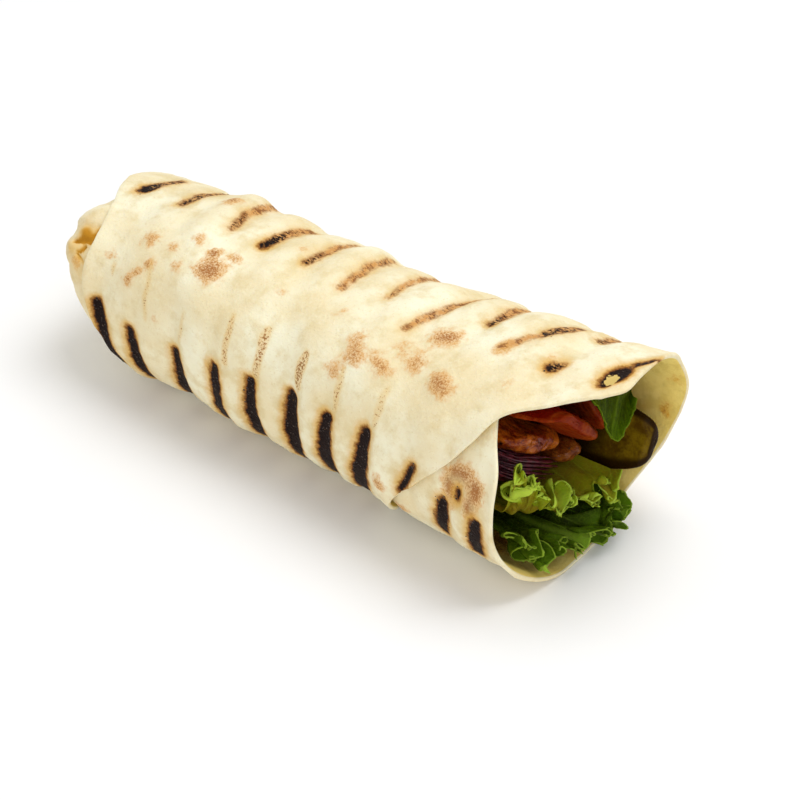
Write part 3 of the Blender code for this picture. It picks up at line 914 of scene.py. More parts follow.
@dataclass(frozen=True)
class TomatoFinish:
    """Tomato: shiny skin outside, wet flesh at the cut, with painted highlight streaks along the slice."""

    skin: Colour = (0.13, 0.004, 0.001)
    flesh: Colour = (0.17, 0.014, 0.002)
    # Paler flesh, also used for the painted highlight streaks.
    pale: Colour = (0.27, 0.042, 0.005)

    def make(self) -> bpy.types.Material:
        """Build the material."""
        paint = Paint("tomato_slice")
        cells = paint.cells(1.3)
        broad = paint.noise(4.0, 2.0, 0.5)
        lines = paint.noise(1.5, 2.0, 0.65, stretch=(1.0, 0.15, 0.15))
        flesh = paint.blend(broad.step(0.4, 0.7) * 0.5 + cells.step(0.3, 0.7) * 0.2, self.flesh, self.pale)
        flesh = paint.blend(lines.step(0.52, 0.66) * 0.65, flesh, self.skin)
        # Painted highlight: pale streaks along the slice.
        flesh = paint.blend((1.0 - lines.step(0.36, 0.47)) * 0.6, flesh, self.pale)
        skin = (paint.field("skin") + (broad - 0.5) * 0.3).step(0.25, 0.6)
        base = paint.blend(skin, flesh, self.skin)
        normal = paint.bump(cells * 0.3 + broad + lines * 1.2, 0.5, 0.7)
        return paint.finish(base, 0.3 - skin * 0.12, normal, {
            "Subsurface Weight": 0.12, "Subsurface Radius": (1.0, 0.3, 0.1), "Subsurface Scale": 0.002,
            "Coat Weight": 0.03, "Coat Roughness": 0.02, "Specular IOR Level": 0.01})


@dataclass(frozen=True)
class GherkinFinish:
    """Pickled gherkin: yellow-green flesh with a darker skin, whose colour is also painted as shade deep in the cavity.
    """

    flesh: Colour = (0.080, 0.038, 0.002)
    core: Colour = (0.20, 0.125, 0.004)
    # Dark skin, also painted as the shade deep in the cavity.
    rind_and_shadow: Colour = (0.022, 0.009, 0.001)

    def make(self) -> bpy.types.Material:
        """Build the material."""
        paint = Paint("gherkin_slice")
        broad = paint.noise(7.0, 3.0, 0.55)
        fine = paint.noise(1.0, 2.0, 0.5)
        flesh = paint.blend((broad + (fine - 0.5) * 0.3).step(0.35, 0.7), self.flesh, self.core)
        rind_and_shadow = paint.field("rind_and_shadow") + (broad - 0.5) * 0.6 + (fine - 0.5) * 0.2
        base = paint.blend(rind_and_shadow.step(0.05, 0.95), flesh, self.rind_and_shadow)
        normal = paint.bump(fine + broad * 2.0, 0.4, 0.5)
        return paint.finish(base, 0.28 + fine * 0.12, normal, {
            "Subsurface Weight": 0.12, "Subsurface Radius": (0.9, 0.7, 0.2), "Subsurface Scale": 0.002,
            "Coat Weight": 0.06, "Coat Roughness": 0.03, "Specular IOR Level": 0.02})


@dataclass(frozen=True)
class OnionFinish:
    """Red onion: dark purple strands with pale streaks."""

    dark: Colour = (0.045, 0.004, 0.010)
    purple: Colour = (0.15, 0.014, 0.030)
    pale: Colour = (0.38, 0.15, 0.16)

    def make(self) -> bpy.types.Material:
        """Build the material."""
        paint = Paint("onion_strands")
        broad = paint.noise(3.0, 3.0, 0.6)
        lines = paint.noise(1.0, 2.0, 0.5, stretch=(1.0, 0.25, 0.5))
        base = paint.blend(broad.step(0.35, 0.65), self.dark, self.purple)
        base = paint.blend(lines.step(0.6, 0.78) * 0.5, base, self.pale)
        normal = paint.bump(lines, 0.25, 0.6)
        return paint.finish(base, 0.25 + broad * 0.15, normal, {
            "Subsurface Weight": 0.1, "Subsurface Radius": (0.9, 0.2, 0.3), "Subsurface Scale": 0.0015,
            "Coat Weight": 0.2, "Coat Roughness": 0.1, "Specular IOR Level": 0.25})


@dataclass(frozen=True)
class LeafFinish:
    """Leaf with veins, darker inside, with painted light on its frill and a painted highlight along its rim."""

    name: str
    deep: Colour
    green: Colour
    # Brighter green, painted as light on the frill.
    lit_frill: Colour
    # Pale colour of the veins, also painted as a highlight along the rim.
    rim: Colour
    gloss: float = 0.34

    def make(self) -> bpy.types.Material:
        """Build the material."""
        paint = Paint(self.name)
        broad = paint.noise(9.0, 3.0, 0.55)
        fine = paint.noise(1.4, 3.0, 0.6)
        base = paint.blend((broad + (fine - 0.5) * 0.4).step(0.35, 0.7), self.deep, self.green)
        # Painted light: brighter green on the frill, where it stands out of the roll at the mouth.
        frill = paint.field("frill") + (broad - 0.5) * 0.9 + (fine - 0.5) * 0.3
        base = paint.blend(frill.step(0.55, 1.25) * 0.85, base, self.lit_frill)
        net = paint.cells(2.2, "DISTANCE_TO_EDGE").step(0.0, 0.1)
        vein = paint.maths("MAXIMUM", paint.field("vein"), (1.0 - net) * 0.25)
        base = paint.blend(vein * 0.32, base, self.rim)
        # Painted highlight: a thin bright line along the leaf's rim.
        base = paint.blend(paint.field("rim").step(0.2, 0.9) * 0.85, base, self.rim)
        normal = paint.bump(net * 0.6 + fine * 0.5 + vein, 0.3, 0.5)
        return paint.finish(base, self.gloss + fine * 0.15, normal, {
            "Subsurface Weight": 0.2, "Subsurface Radius": (0.6, 1.0, 0.1), "Subsurface Scale": 0.0015,
            "Specular IOR Level": 0.03})


@dataclass(frozen=True)
class FloorFinish:
    """Plain pale floor."""

    shade: Colour = (0.93, 0.93, 0.93)
    light: Colour = (0.96, 0.96, 0.96)

    def make(self) -> bpy.types.Material:
        """Build the material."""
        paint = Paint("floor_paper")
        grain = paint.noise(40.0, 2.0, 0.5)
        base = paint.blend(grain, self.shade, self.light)
        return paint.finish(base, 0.9)


# Flatbread


@dataclass(frozen=True)
class GrillMark:
    """Burnt line on the sheet, from one place and roll angle to another."""

    start: tuple[float, float]
    end: tuple[float, float]
    half_width: float
    burn_start: float
    burn_end: float


@dataclass(frozen=True)
class ToastSpot:
    """Round toasted blister: place, roll angle, radius and strength."""

    place: float
    angle: float
    radius: float
    strength: float = 1.0


def marks(rows: Rows) -> tuple[GrillMark, ...]:
    """Grill marks from rows of place, angle, place, angle, half width and two burns."""
    return tuple(GrillMark((row[0], row[1]), (row[2], row[3]), *row[4:]) for row in rows)


def spots(rows: Rows) -> tuple[ToastSpot, ...]:
    """Toast spots from rows of numbers."""
    return tuple(ToastSpot(*row) for row in rows)


@dataclass
class Flatbread:
    """Grilled flatbread, rolled in one sheet, with its marks, blisters and folds."""

    column_spans: Rows = ((-150.0, 20), (-72.0, 62), (-12.0, 36), (100.0, 190))
    rows: int = 148
    rim_steps: int = 3
    sheet_radius: float = 40.0
    toast_level: float = 1.3
    groove_run: float = 32.0
    groove_limit: float = 245.0
    relief_floor: float = -1.4
    puffs: tuple[ToastSpot, ...] = spots(((50.0, 231.0, 7.0, 1.8), (70.0, 228.0, 7.0, 0.8)))
    top_marks: tuple[GrillMark, ...] = marks((
        (13.7, 270.0, 21.4, 240.0, 3.2, 1.0, 0.6), (35.6, 270.7, 39.2, 232.0, 2.1, 0.75, 0.6),
        (63.6, 274.4, 58.1, 222.0, 1.7, 0.65, 0.45), (79.0, 275.9, 82.9, 236.0, 2.1, 0.95, 0.5),
        (98.6, 274.5, 101.0, 232.0, 1.6, 0.75, 0.45), (118.7, 279.3, 117.0, 230.0, 1.5, 0.45, 0.5),
        (136.4, 273.3, 135.9, 224.0, 1.4, 0.6, 0.4), (153.2, 287.7, 162.5, 238.0, 1.6, 0.4, 0.5),
        (176.8, 266.6, 175.0, 226.0, 1.8, 0.8, 0.45), (191.4, 279.0, 200.0, 258.0, 1.5, 0.3, 0.4),
        (197.5, 266.0, 204.0, 240.5, 2.9, 0.7, 0.6),
        (213.3, 247.2, 212.7, 223.0, 1.7, 0.8, 0.5), (211.6, 280.0, 216.3, 271.2, 2.2, 0.9, 0.7),
        (233.6, 278.5, 236.4, 262.0, 3.4, 1.0, 1.0), (236.0, 263.0, 238.6, 249.0, 1.7, 1.0, 0.9),
    ))
    front_marks: tuple[GrillMark, ...] = marks((
        (25.3, 349.0, 36.0, 402.0, 2.8, 1.0, 1.0), (42.9, 357.0, 47.0, 414.0, 2.4, 1.0, 1.0),
        (66.4, 357.5, 64.5, 418.0, 2.8, 1.0, 1.0), (87.1, 351.8, 86.5, 416.0, 3.0, 1.0, 1.0),
        (103.1, 349.9, 102.0, 416.0, 3.1, 1.0, 1.0), (121.9, 347.2, 121.0, 417.0, 3.3, 1.0, 1.0),
        (140.7, 347.5, 135.0, 418.0, 3.3, 1.0, 1.0), (159.6, 344.6, 148.5, 418.0, 3.3, 1.0, 1.0),
        (183.0, 352.0, 175.6, 371.0, 1.7, 1.0, 1.0),
    ))
    inner_marks: tuple[GrillMark, ...] = marks((
        (194.5, 3.0, 189.5, 42.0, 2.8, 1.0, 1.0), (210.7, 4.0, 205.5, 42.0, 3.1, 1.0, 1.0),
        (200.3, -4.6, 200.8, 2.2, 1.3, 1.0, 1.0),
    ))
    back_side: float = 152.0
    back_reach: float = 22.0
    toasts: tuple[ToastSpot, ...] = spots((
        (71.6, 303.5, 5.6, 1.2), (68.8, 292.5, 2.2, 1.1), (59.5, 290.1, 2.6, 0.6), (76.3, 290.3, 2.4, 0.75),
        (52.0, 256.0, 3.6, 1.0), (40.5, 300.4, 4.2, 0.7), (39.4, 329.7, 3.0, 0.85), (43.0, 322.0, 2.6, 0.75),
        (46.6, 315.6, 2.8, 0.8), (58.3, 310.4, 2.8, 0.55), (51.9, 301.2, 2.6, 0.55), (26.2, 317.4, 2.8, 0.5),
        (56.7, 346.0, 1.8, 0.4), (142.7, 304.1, 4.6, 0.6), (144.6, 313.1, 4.0, 0.75), (139.2, 324.1, 3.8, 0.65),
        (157.6, 312.8, 3.8, 0.7), (153.2, 309.6, 3.6, 0.5), (159.8, 297.5, 3.8, 0.55), (167.8, 301.7, 4.0, 0.75),
        (180.1, 306.4, 3.6, 0.8), (185.0, 309.5, 3.8, 0.8), (167.6, 282.6, 4.4, 0.85), (173.0, 281.5, 3.8, 0.8),
        (166.8, 370.8, 3.4, 0.85), (101.0, 296.0, 2.6, 0.35), (128.0, 292.0, 3.4, 0.3), (205.0, 296.0, 3.0, 0.35),
        (93.0, 266.0, 2.6, 0.3), (236.0, 268.0, 4.6, 0.8), (213.5, 276.0, 4.4, 0.7),
        (192.8, 276.0, 3.6, 0.85),
    ))
    flaked: tuple[ToastSpot, ...] = spots((
        (235.0, 271.9, 2.6, 1.0), (214.0, 275.6, 0.9, 0.9), (183.6, 358.0, 0.9, 0.7), (181.0, 366.0, 0.9, 0.7),
    ))
    folds: tuple[GrillMark, ...] = marks((
        (5.5, -39.0, 13.5, -46.0, 1.1, 1.0, 0.8), (12.8, -41.0, 10.5, -33.0, 0.7, 0.9, 0.8),
        (10.5, -33.0, 15.0, -28.0, 0.6, 0.8, 0.5), (14.0, -57.0, 14.0, -42.0, 0.8, 0.9, 0.7),
    ))
    # Spots of painted amber shade in the folds of the closed end.
    fold_shadow_spots: tuple[ToastSpot, ...] = spots((
        (9.5, -50.0, 5.0, 0.9), (7.5, -34.5, 4.4, 0.7), (11.5, -45.0, 3.4, 0.7), (13.0, -22.0, 6.0, 0.4),
    ))
    fold_swells: tuple[ToastSpot, ...] = spots((
        (2.0, -54.0, 5.0, 1.6), (5.0, -64.0, 9.0, 3.2), (8.5, -48.5, 2.0, 0.9), (6.5, -35.0, 2.6, 0.7),
    ))
    inner_spots: tuple[ToastSpot, ...] = spots((
        (198.0, 74.0, 5.2, 1.6), (193.0, 86.0, 4.5, 1.3), (203.0, 64.0, 3.4, 1.0), (225.0, 178.0, 2.6, 0.9),
        (229.0, 197.0, 5.0, 0.3),
    ))
    inner_toasts: tuple[ToastSpot, ...] = spots((
        (200.2, -11.0, 4.4, 1.4), (196.5, -3.5, 2.8, 1.0), (209.7, -8.0, 3.8, 1.4), (208.1, 2.5, 3.4, 1.5),
        (173.0, 30.0, 2.6, 0.8), (199.0, 2.0, 4.0, 0.8), (205.0, -16.0, 3.0, 0.5),
    ))
    streaks: tuple[GrillMark, ...] = marks((
        (90.5, 318.0, 92.0, 352.0, 2.0, 0.6, 0.8), (105.5, 316.0, 106.0, 356.0, 2.4, 0.7, 0.9),
        (125.0, 318.0, 125.5, 347.0, 2.6, 0.9, 1.0), (47.0, 308.0, 52.0, 350.0, 1.6, 0.4, 0.6),
        (30.0, 318.0, 31.0, 332.0, 1.6, 0.3, 0.6), (143.5, 318.0, 144.0, 350.0, 2.2, 0.55, 0.65),
        (163.0, 318.0, 162.5, 346.0, 2.2, 0.45, 0.55), (70.0, 330.0, 69.0, 354.0, 1.8, 0.4, 0.5),
    ))

    def columns(self) -> np.ndarray:
        """Roll angles of the grid's columns, closer together where the sheet shows."""
        ends = [span[0] for span in self.column_spans[1:]] + [ROLL.roll_end]
        spans = [np.linspace(span[0], end, int(span[1]), endpoint=False) for span, end in zip(self.column_spans, ends)]
        return np.concatenate(spans + [np.array([ROLL.roll_end])])

    def back_marks(self) -> tuple[GrillMark, ...]:
        """Marks of the side away from the flap, at the pitch of the pressed grooves."""
        made = []
        for index in range(ROLL.groove_count - 1):
            place = ROLL.groove_first + index * ROLL.groove_pitch
            shift = 3.0 * math.sin(1.7 * index)
            burn = 0.85 + 0.15 * math.sin(2.9 * index)
            made.append(GrillMark((place + shift, self.back_side - self.back_reach),
                                  (place, self.back_side + self.back_reach), 2.0, burn, burn))
        return tuple(made)

    def mark_fields(self, group: Sequence[GrillMark], along: np.ndarray, round_place: np.ndarray) -> tuple:
        """Distance to the edge of the nearest mark, and how burnt that mark is.

        Args:
            group: The marks.
            along: Places along the sheet.
            round_place: Places round the roll in millimetres.

        Returns:
            The distance in millimetres, negative inside, and the burn.
        """
        edge = np.full(along.shape, 30.0)
        burn = np.zeros(along.shape)
        for mark in group:
            first = np.array([mark.start[0], math.radians(mark.start[1]) * self.sheet_radius])
            last = np.array([mark.end[0], math.radians(mark.end[1]) * self.sheet_radius])
            course = last - first
            first, last = first + unit(course) * mark.half_width, last - unit(course) * mark.half_width
            course = last - first
            part = ((along - first[0]) * course[0] + (round_place - first[1]) * course[1]) / (course @ course)
            part = np.clip(part, 0.0, 1.0)
            apart = np.hypot(along - first[0] - part * course[0], round_place - first[1] - part * course[1])
            width = mark.half_width * (0.62 + 0.38 * np.sin(math.pi * (0.12 + 0.76 * part)))
            gap = apart - width
            nearer = gap < edge
            edge = np.where(nearer, gap, edge)
            level = mark.burn_end + (mark.burn_start - mark.burn_end) * (1.0 - part) ** 3.0
            burn = np.where(nearer, level, burn)
        return edge, burn

    def spot_field(self, group: Sequence[ToastSpot], along: np.ndarray, round_place: np.ndarray) -> np.ndarray:
        """Sum of round toasted spots."""
        total = np.zeros(along.shape)
        for spot in group:
            away = np.hypot(along - spot.place, round_place - math.radians(spot.angle) * self.sheet_radius)
            total += spot.strength * np.exp(-(away / spot.radius) ** 2)
        return total

    def build(self) -> bpy.types.Object:
        """Build and dress the sheet."""
        angles = self.columns()
        parts = np.linspace(0.0, 1.0, self.rows)
        base, along = ROLL.sheet(angles, parts)
        angle_grid = np.broadcast_to(angles[:, None], along.shape)
        round_place = np.radians(angle_grid) * self.sheet_radius
        warp = np.stack([along, round_place, np.zeros(along.shape)], axis=-1)
        along_warped = along + 1.1 * soft_noise(warp, 7.0, 3.1)
        round_warped = round_place + 1.1 * soft_noise(warp, 7.0, 8.6)
        covered = self.covered(angle_grid, along)
        groups = self.top_marks + self.front_marks + self.inner_marks + self.back_marks()
        ragged = 0.9 * soft_noise(warp, 8.0, 1.7) + 0.6 * soft_noise(warp, 3.5, 7.2)
        edge, burn = self.mark_fields(groups, along + ragged, round_place + 0.8 * soft_noise(warp, 5.0, 2.9))
        streak_edge, streak_burn = self.mark_fields(self.streaks, along_warped, round_warped)
        streak = (1.0 - smooth_step(-1.6, 0.8, streak_edge)) * streak_burn
        toast = self.spot_field(self.toasts + self.inner_toasts, along_warped, round_warped) * self.toast_level
        hidden_side = smooth_step(200.0, 160.0, angle_grid) + smooth_step(405.0, 430.0, angle_grid)
        patches = np.clip(soft_noise(warp, 13.0, 5.5) * 2.2 - 0.75, 0.0, 1.0)
        toast = toast + hidden_side * patches
        normals = self.outward(base)
        groove = self.grooves(along, round_place)
        relief = self.relief(warp, edge, burn, toast, groove, angle_grid, along) * (1.0 - covered)
        relief = relief + self.spot_field(self.puffs, along_warped, round_warped)
        fold_shadow, swell = self.closed_end(angle_grid, base[..., 0], warp)
        relief = relief + swell
        outer = base + normals * relief[..., None]
        outer[..., 2] = np.maximum(outer[..., 2], np.minimum(base[..., 2], 0.0) + 0.0)
        border = self.border(parts, angles)
        wall = ROLL.thickness * (1.0 - 0.25 * border)
        inner = base - normals * wall[..., None]
        bare = self.spot_field(self.flaked, along_warped, round_warped)
        flakes = (1.0 - smooth_step(-0.8, 0.4, edge)) * smooth_step(0.5, 1.0, burn) * (1.0 - covered)
        flakes = flakes * (1.0 - smooth_step(0.15, 0.4, bare))
        fields = {"mark_edge": edge, "burn": burn, "toast": toast, "streak": streak, "fold_shadow": fold_shadow,
                  "bare": bare, "flakes": flakes}
        inner_fields = self.inner_face(warp, along_warped, round_warped)
        finishes = [BreadFinish(BreadFace.OUTER).make(), BreadFinish(BreadFace.INNER).make(),
                    BreadFinish(BreadFace.RIM).make()]
        return walled_sheet("flatbread_sheet", outer, inner, self.rim_steps, 0.8, finishes, fields, inner_fields)

    def outward(self, base: np.ndarray) -> np.ndarray:
        """Normals of the sheet that point away from the roll's axis."""
        normals = grid_normals(base)
        axis = np.zeros(base.shape)
        axis[..., 0] = base[..., 0]
        axis[..., 2] = ROLL.half_sizes(base[..., 0])[1]
        middle = len(base) // 2
        sign = np.sign(np.sum(normals[middle] * (base[middle] - axis[middle]), axis=-1).mean())
        return normals * sign

    def covered(self, angle_grid: np.ndarray, along: np.ndarray) -> np.ndarray:
        """1 where the flap lies over the sheet."""
        over = angle_grid + 360.0
        end = curve_value(ROLL.mouth_rim, np.minimum(over, ROLL.roll_end))
        start = curve_value(ROLL.closed_rim, np.minimum(over, ROLL.roll_end))
        inside = (1.0 - smooth_step(-4.0, 4.0, along - end)) * smooth_step(-4.0, 4.0, along - start)
        return np.where(over < ROLL.roll_end + 6.0, inside, 0.0)

    def grooves(self, along: np.ndarray, round_place: np.ndarray) -> np.ndarray:
        """1 in the grooves that carry the marks of the top over to the far side."""
        over = [GrillMark(mark.start, (mark.end[0], mark.end[1] - self.groove_run), mark.half_width, 1.0, 1.0)
                for mark in self.top_marks if mark.end[1] < self.groove_limit]
        return 1.0 - smooth_step(-1.0, 5.0, self.mark_fields(over, along, round_place)[0])

    def relief(self, warp: np.ndarray, edge: np.ndarray, burn: np.ndarray, toast: np.ndarray,
               groove: np.ndarray, angle_grid: np.ndarray, along: np.ndarray) -> np.ndarray:
        """Height of the soft relief of the outer face in millimetres."""
        bottom = np.abs((-angle_grid - ROLL.bottom_angle + 180.0) % 360.0 - 180.0)
        free = smooth_step(10.0, 35.0, bottom)
        soft = 0.5 * soft_noise(warp, 17.0, 2.2) + 0.3 * soft_noise(warp, 7.0, 4.4) + 0.14 * soft_noise(warp, 3.4, 5.9)
        pressed = -np.maximum((1.0 - smooth_step(-1.5, 3.5, edge)) * burn, 0.9 * groove)
        puffed = 0.55 * np.clip(toast, 0.0, 1.0)
        folds = 0.5 * soft_noise(warp * np.array([0.5, 1.6, 1.0]), 9.0, 6.0) * (1.0 - smooth_step(2.0, 20.0, along))
        return np.maximum(soft + pressed + puffed + folds, self.relief_floor) * free

    def border(self, parts: np.ndarray, angles: np.ndarray) -> np.ndarray:
        """1 at the sheet's free border, 0 inside."""
        rows = 1.0 - smooth_step(0.0, 0.02, np.minimum(parts, 1.0 - parts))
        ends = 1.0 - smooth_step(0.0, 8.0, np.minimum(angles - angles[0], angles[-1] - angles))
        return np.maximum(rows[None, :], ends[:, None])

    def closed_end(self, angle_grid: np.ndarray, place: np.ndarray, warp: np.ndarray) -> tuple:
        """Painted amber shade in the folds at the closed end, where shadow and light through the sheet fall, and the
        relief of the folds.

        Args:
            angle_grid: Roll angles of the points.
            place: Places of the points along the roll.
            warp: Places along and round the sheet, for noise.

        Returns:
            The painted shade from 0 to 1, and the height in millimetres.
        """
        round_place = np.radians(angle_grid) * self.sheet_radius + 0.5 * soft_noise(warp, 3.0, 2.4)
        place = place + 0.5 * soft_noise(warp, 3.0, 4.6)
        tucked = (1.0 - smooth_step(20.0, 60.0, angle_grid)) * (1.0 - smooth_step(14.0, 24.0, place))
        edge, depth = self.mark_fields(self.folds, place, round_place)
        shaded_fold = (1.0 - smooth_step(-0.7, 1.0, edge)) * depth
        shade = self.spot_field(self.fold_shadow_spots, place, round_place) * 0.75
        ragged = 0.5 + 0.5 * soft_noise(warp, 5.0, 9.1)
        swell = self.spot_field(self.fold_swells, place, round_place) - 1.5 * shaded_fold
        # Painted shade: a ragged amber tint over the tucked end, with its shade spots and its fold lines.
        return np.clip(tucked * (0.2 * ragged + shade + 0.9 * shaded_fold), 0.0, 1.0), tucked * swell

    def inner_face(self, warp: np.ndarray, along: np.ndarray, round_place: np.ndarray) -> dict[str, np.ndarray]:
        """Values on the inner face: toast where it shows at the mouth."""
        patches = np.clip(soft_noise(warp, 9.0, 12.5) * 2.2 - 0.8, 0.0, 1.0) * 0.5
        patches = patches + self.spot_field(self.inner_spots, along, round_place)
        nothing = np.zeros(along.shape)
        return {"mark_edge": nothing + 30.0, "burn": nothing, "toast": patches, "streak": nothing,
                "fold_shadow": nothing, "bare": nothing, "flakes": nothing}


# Fillings


@dataclass(frozen=True)
class CavityLine:
    """Smooth line across the cavity's unit disc."""

    points: Rows
    nudge: float = 0.02

    def at(self, part: np.ndarray) -> tuple[np.ndarray, np.ndarray]:
        """Places and directions at parts of the line."""
        steps = len(self.points) - 1
        rows = [(index / steps, point[0], point[1]) for index, point in enumerate(self.points)]

        def place(value: np.ndarray) -> np.ndarray:
            """Place at parts of the line."""
            return np.stack([curve_value(rows, value, 1), curve_value(rows, value, 2)], axis=-1)

        return place(part), unit(place(part + self.nudge) - place(part - self.nudge))


@dataclass
class LongFilling:
    """Rounded strip along the cavity, whose end shows at the mouth."""

    piece: str
    node: str
    slot: str
    end: float
    line: CavityLine
    half_thickness: float
    sides: int = 96
    rings: int = 110
    roundness: float = 0.8
    blunt: float = 1.3
    blunt_power: float = 0.4
    lumps: Rows = ()
    widening: float = 0.0

    def rings_and_turns(self) -> tuple[np.ndarray, np.ndarray]:
        """Polar parts, closer together at the mouth, and round angles."""
        near = np.linspace(0.0, 1.0, self.rings + 2)[1:-1]
        polar = near ** 1.8
        polar = np.clip(polar, 1e-3, 1.0 - 1e-3)
        turns = np.linspace(-math.pi, math.pi, self.sides, endpoint=False)
        return polar[:, None], turns[None, :]

    def surface(self) -> tuple[np.ndarray, np.ndarray, np.ndarray, np.ndarray]:
        """Points, polar parts, round angles and places along of the smooth strip."""
        polar, turns = self.rings_and_turns()
        lift = np.cos(math.pi * polar)
        along = self.end + (ROLL.deep_end - self.end) * 0.5 * (1.0 - lift)
        swell = np.minimum(1.0, self.blunt * np.sin(math.pi * polar) ** self.blunt_power)
        bump = np.ones(np.broadcast(polar, turns).shape)
        for height, along_waves, round_waves, phase in self.lumps:
            bump -= height * (1.0 + np.sin(math.tau * along_waves * polar + round_waves * turns + phase))
        flat = np.sign(np.cos(turns)) * np.abs(np.cos(turns)) ** self.roundness
        place, direction = self.line.at(0.5 + 0.5 * flat * swell)
        side = np.stack([-direction[..., 1], direction[..., 0]], axis=-1)
        rise = self.half_thickness * swell * bump * np.sin(turns) * (1.0 + self.widening * flat * swell)
        spot = place + side * rise[..., None]
        along = np.broadcast_to(along, rise.shape)
        return ROLL.cavity(along, spot[..., 0], spot[..., 1]), polar, turns, along

    def relief(self, points: np.ndarray, polar: np.ndarray, turns: np.ndarray) -> np.ndarray:
        """Height of the strip's relief in millimetres."""
        return 0.35 * soft_noise(points, 5.0, 1.3) + 0.15 * soft_noise(points, 2.2, 3.1)

    def fields(self, points: np.ndarray, polar: np.ndarray, turns: np.ndarray) -> dict[str, np.ndarray]:
        """Values on the points, for the finish."""
        skin = np.broadcast_to(smooth_step(0.2, 0.75, np.sin(turns)), points.shape[:2])
        inside = smooth_step(0.05, 0.12, np.broadcast_to(polar, points.shape[:2]))
        return {"skin": skin * inside}

    def build(self, material: bpy.types.Material) -> bpy.types.Object:
        """Build and dress the strip."""
        points, polar, turns, _ = self.surface()
        wrapped = np.concatenate([points[:, -1:], points, points[:, :1]], axis=1)
        normals = grid_normals(wrapped)[:, 1:-1]
        centre = points.mean(axis=1, keepdims=True)
        sign = np.sign(np.sum(normals * (points - centre), axis=-1).mean())
        shaped = points + normals * sign * self.relief(points, polar, turns)[..., None]
        first = shaped[0].mean(axis=0)
        last = shaped[-1].mean(axis=0)
        piece = round_body(self.piece, shaped, first, last, material, self.fields(points, polar, turns))
        return piece


@dataclass
class ChickenStrip(LongFilling):
    """Glazed chicken with a lumpy, fibrous cut end."""

    lumps: Rows = ((0.05, 5.0, 2.0, 0.3), (0.035, 9.0, 3.0, 1.7))

    def relief(self, points: np.ndarray, polar: np.ndarray, turns: np.ndarray) -> np.ndarray:
        """Lumps and fibres of the meat."""
        stretched = points * np.array([0.5, 1.0, 1.3])
        cut = 0.5 + 0.5 * np.cos(math.pi * np.broadcast_to(polar, points.shape[:2]))
        lump = 1.3 * soft_noise(points, 9.0, 2.7) + 1.0 * soft_noise(points, 4.6, 3.6)
        return lump + 0.6 * soft_noise(stretched, 2.4, 6.1) * cut ** 2

    def fields(self, points: np.ndarray, polar: np.ndarray, turns: np.ndarray) -> dict[str, np.ndarray]:
        """Burnt patches of the glaze."""
        crumbs = smooth_step(0.25, 0.5, soft_noise(points, 5.0, 8.8)) * smooth_step(190.0, 204.0, points[..., 0])
        crust = 0.4 * smooth_step(0.1, 1.0, np.cos(turns)) * smooth_step(0.1, 0.2, polar)
        return {"burnt": 0.18 + crust + 0.6 * soft_noise(points, 6.5, 7.4), "flakes": crumbs}


@dataclass
class GherkinStrip(LongFilling):
    """Gherkin slice: pale flesh on its cut face, dark skin round it, and painted shade on the part deep in the cavity.
    """

    rind_from: float = 0.55
    top_rind_from: float = 0.80
    nose_end: float = 0.05
    # Part of the strip from which the painted shade of the cavity begins.
    painted_shadow_from: float = 0.15

    def fields(self, points: np.ndarray, polar: np.ndarray, turns: np.ndarray) -> dict[str, np.ndarray]:
        """Skin round the cut end, and the same dark colour over the strip behind it as painted shade deep in the
        cavity.
        """
        turned = np.sign(np.cos(turns)) * np.abs(np.cos(turns)) ** self.roundness
        side = np.maximum(smooth_step(self.rind_from, self.rind_from + 0.34, turned),
                          smooth_step(self.top_rind_from, 1.0, -turned))
        nose = 1.0 - smooth_step(0.3 * self.nose_end, self.nose_end, polar)
        # Painted shade: the part deep in the cavity takes the dark skin colour.
        deep = smooth_step(self.painted_shadow_from, self.painted_shadow_from + 0.10, polar)
        shape = points.shape[:2]
        return {"rind_and_shadow": np.maximum(np.broadcast_to(side, shape), np.broadcast_to(np.maximum(nose, deep), shape))}


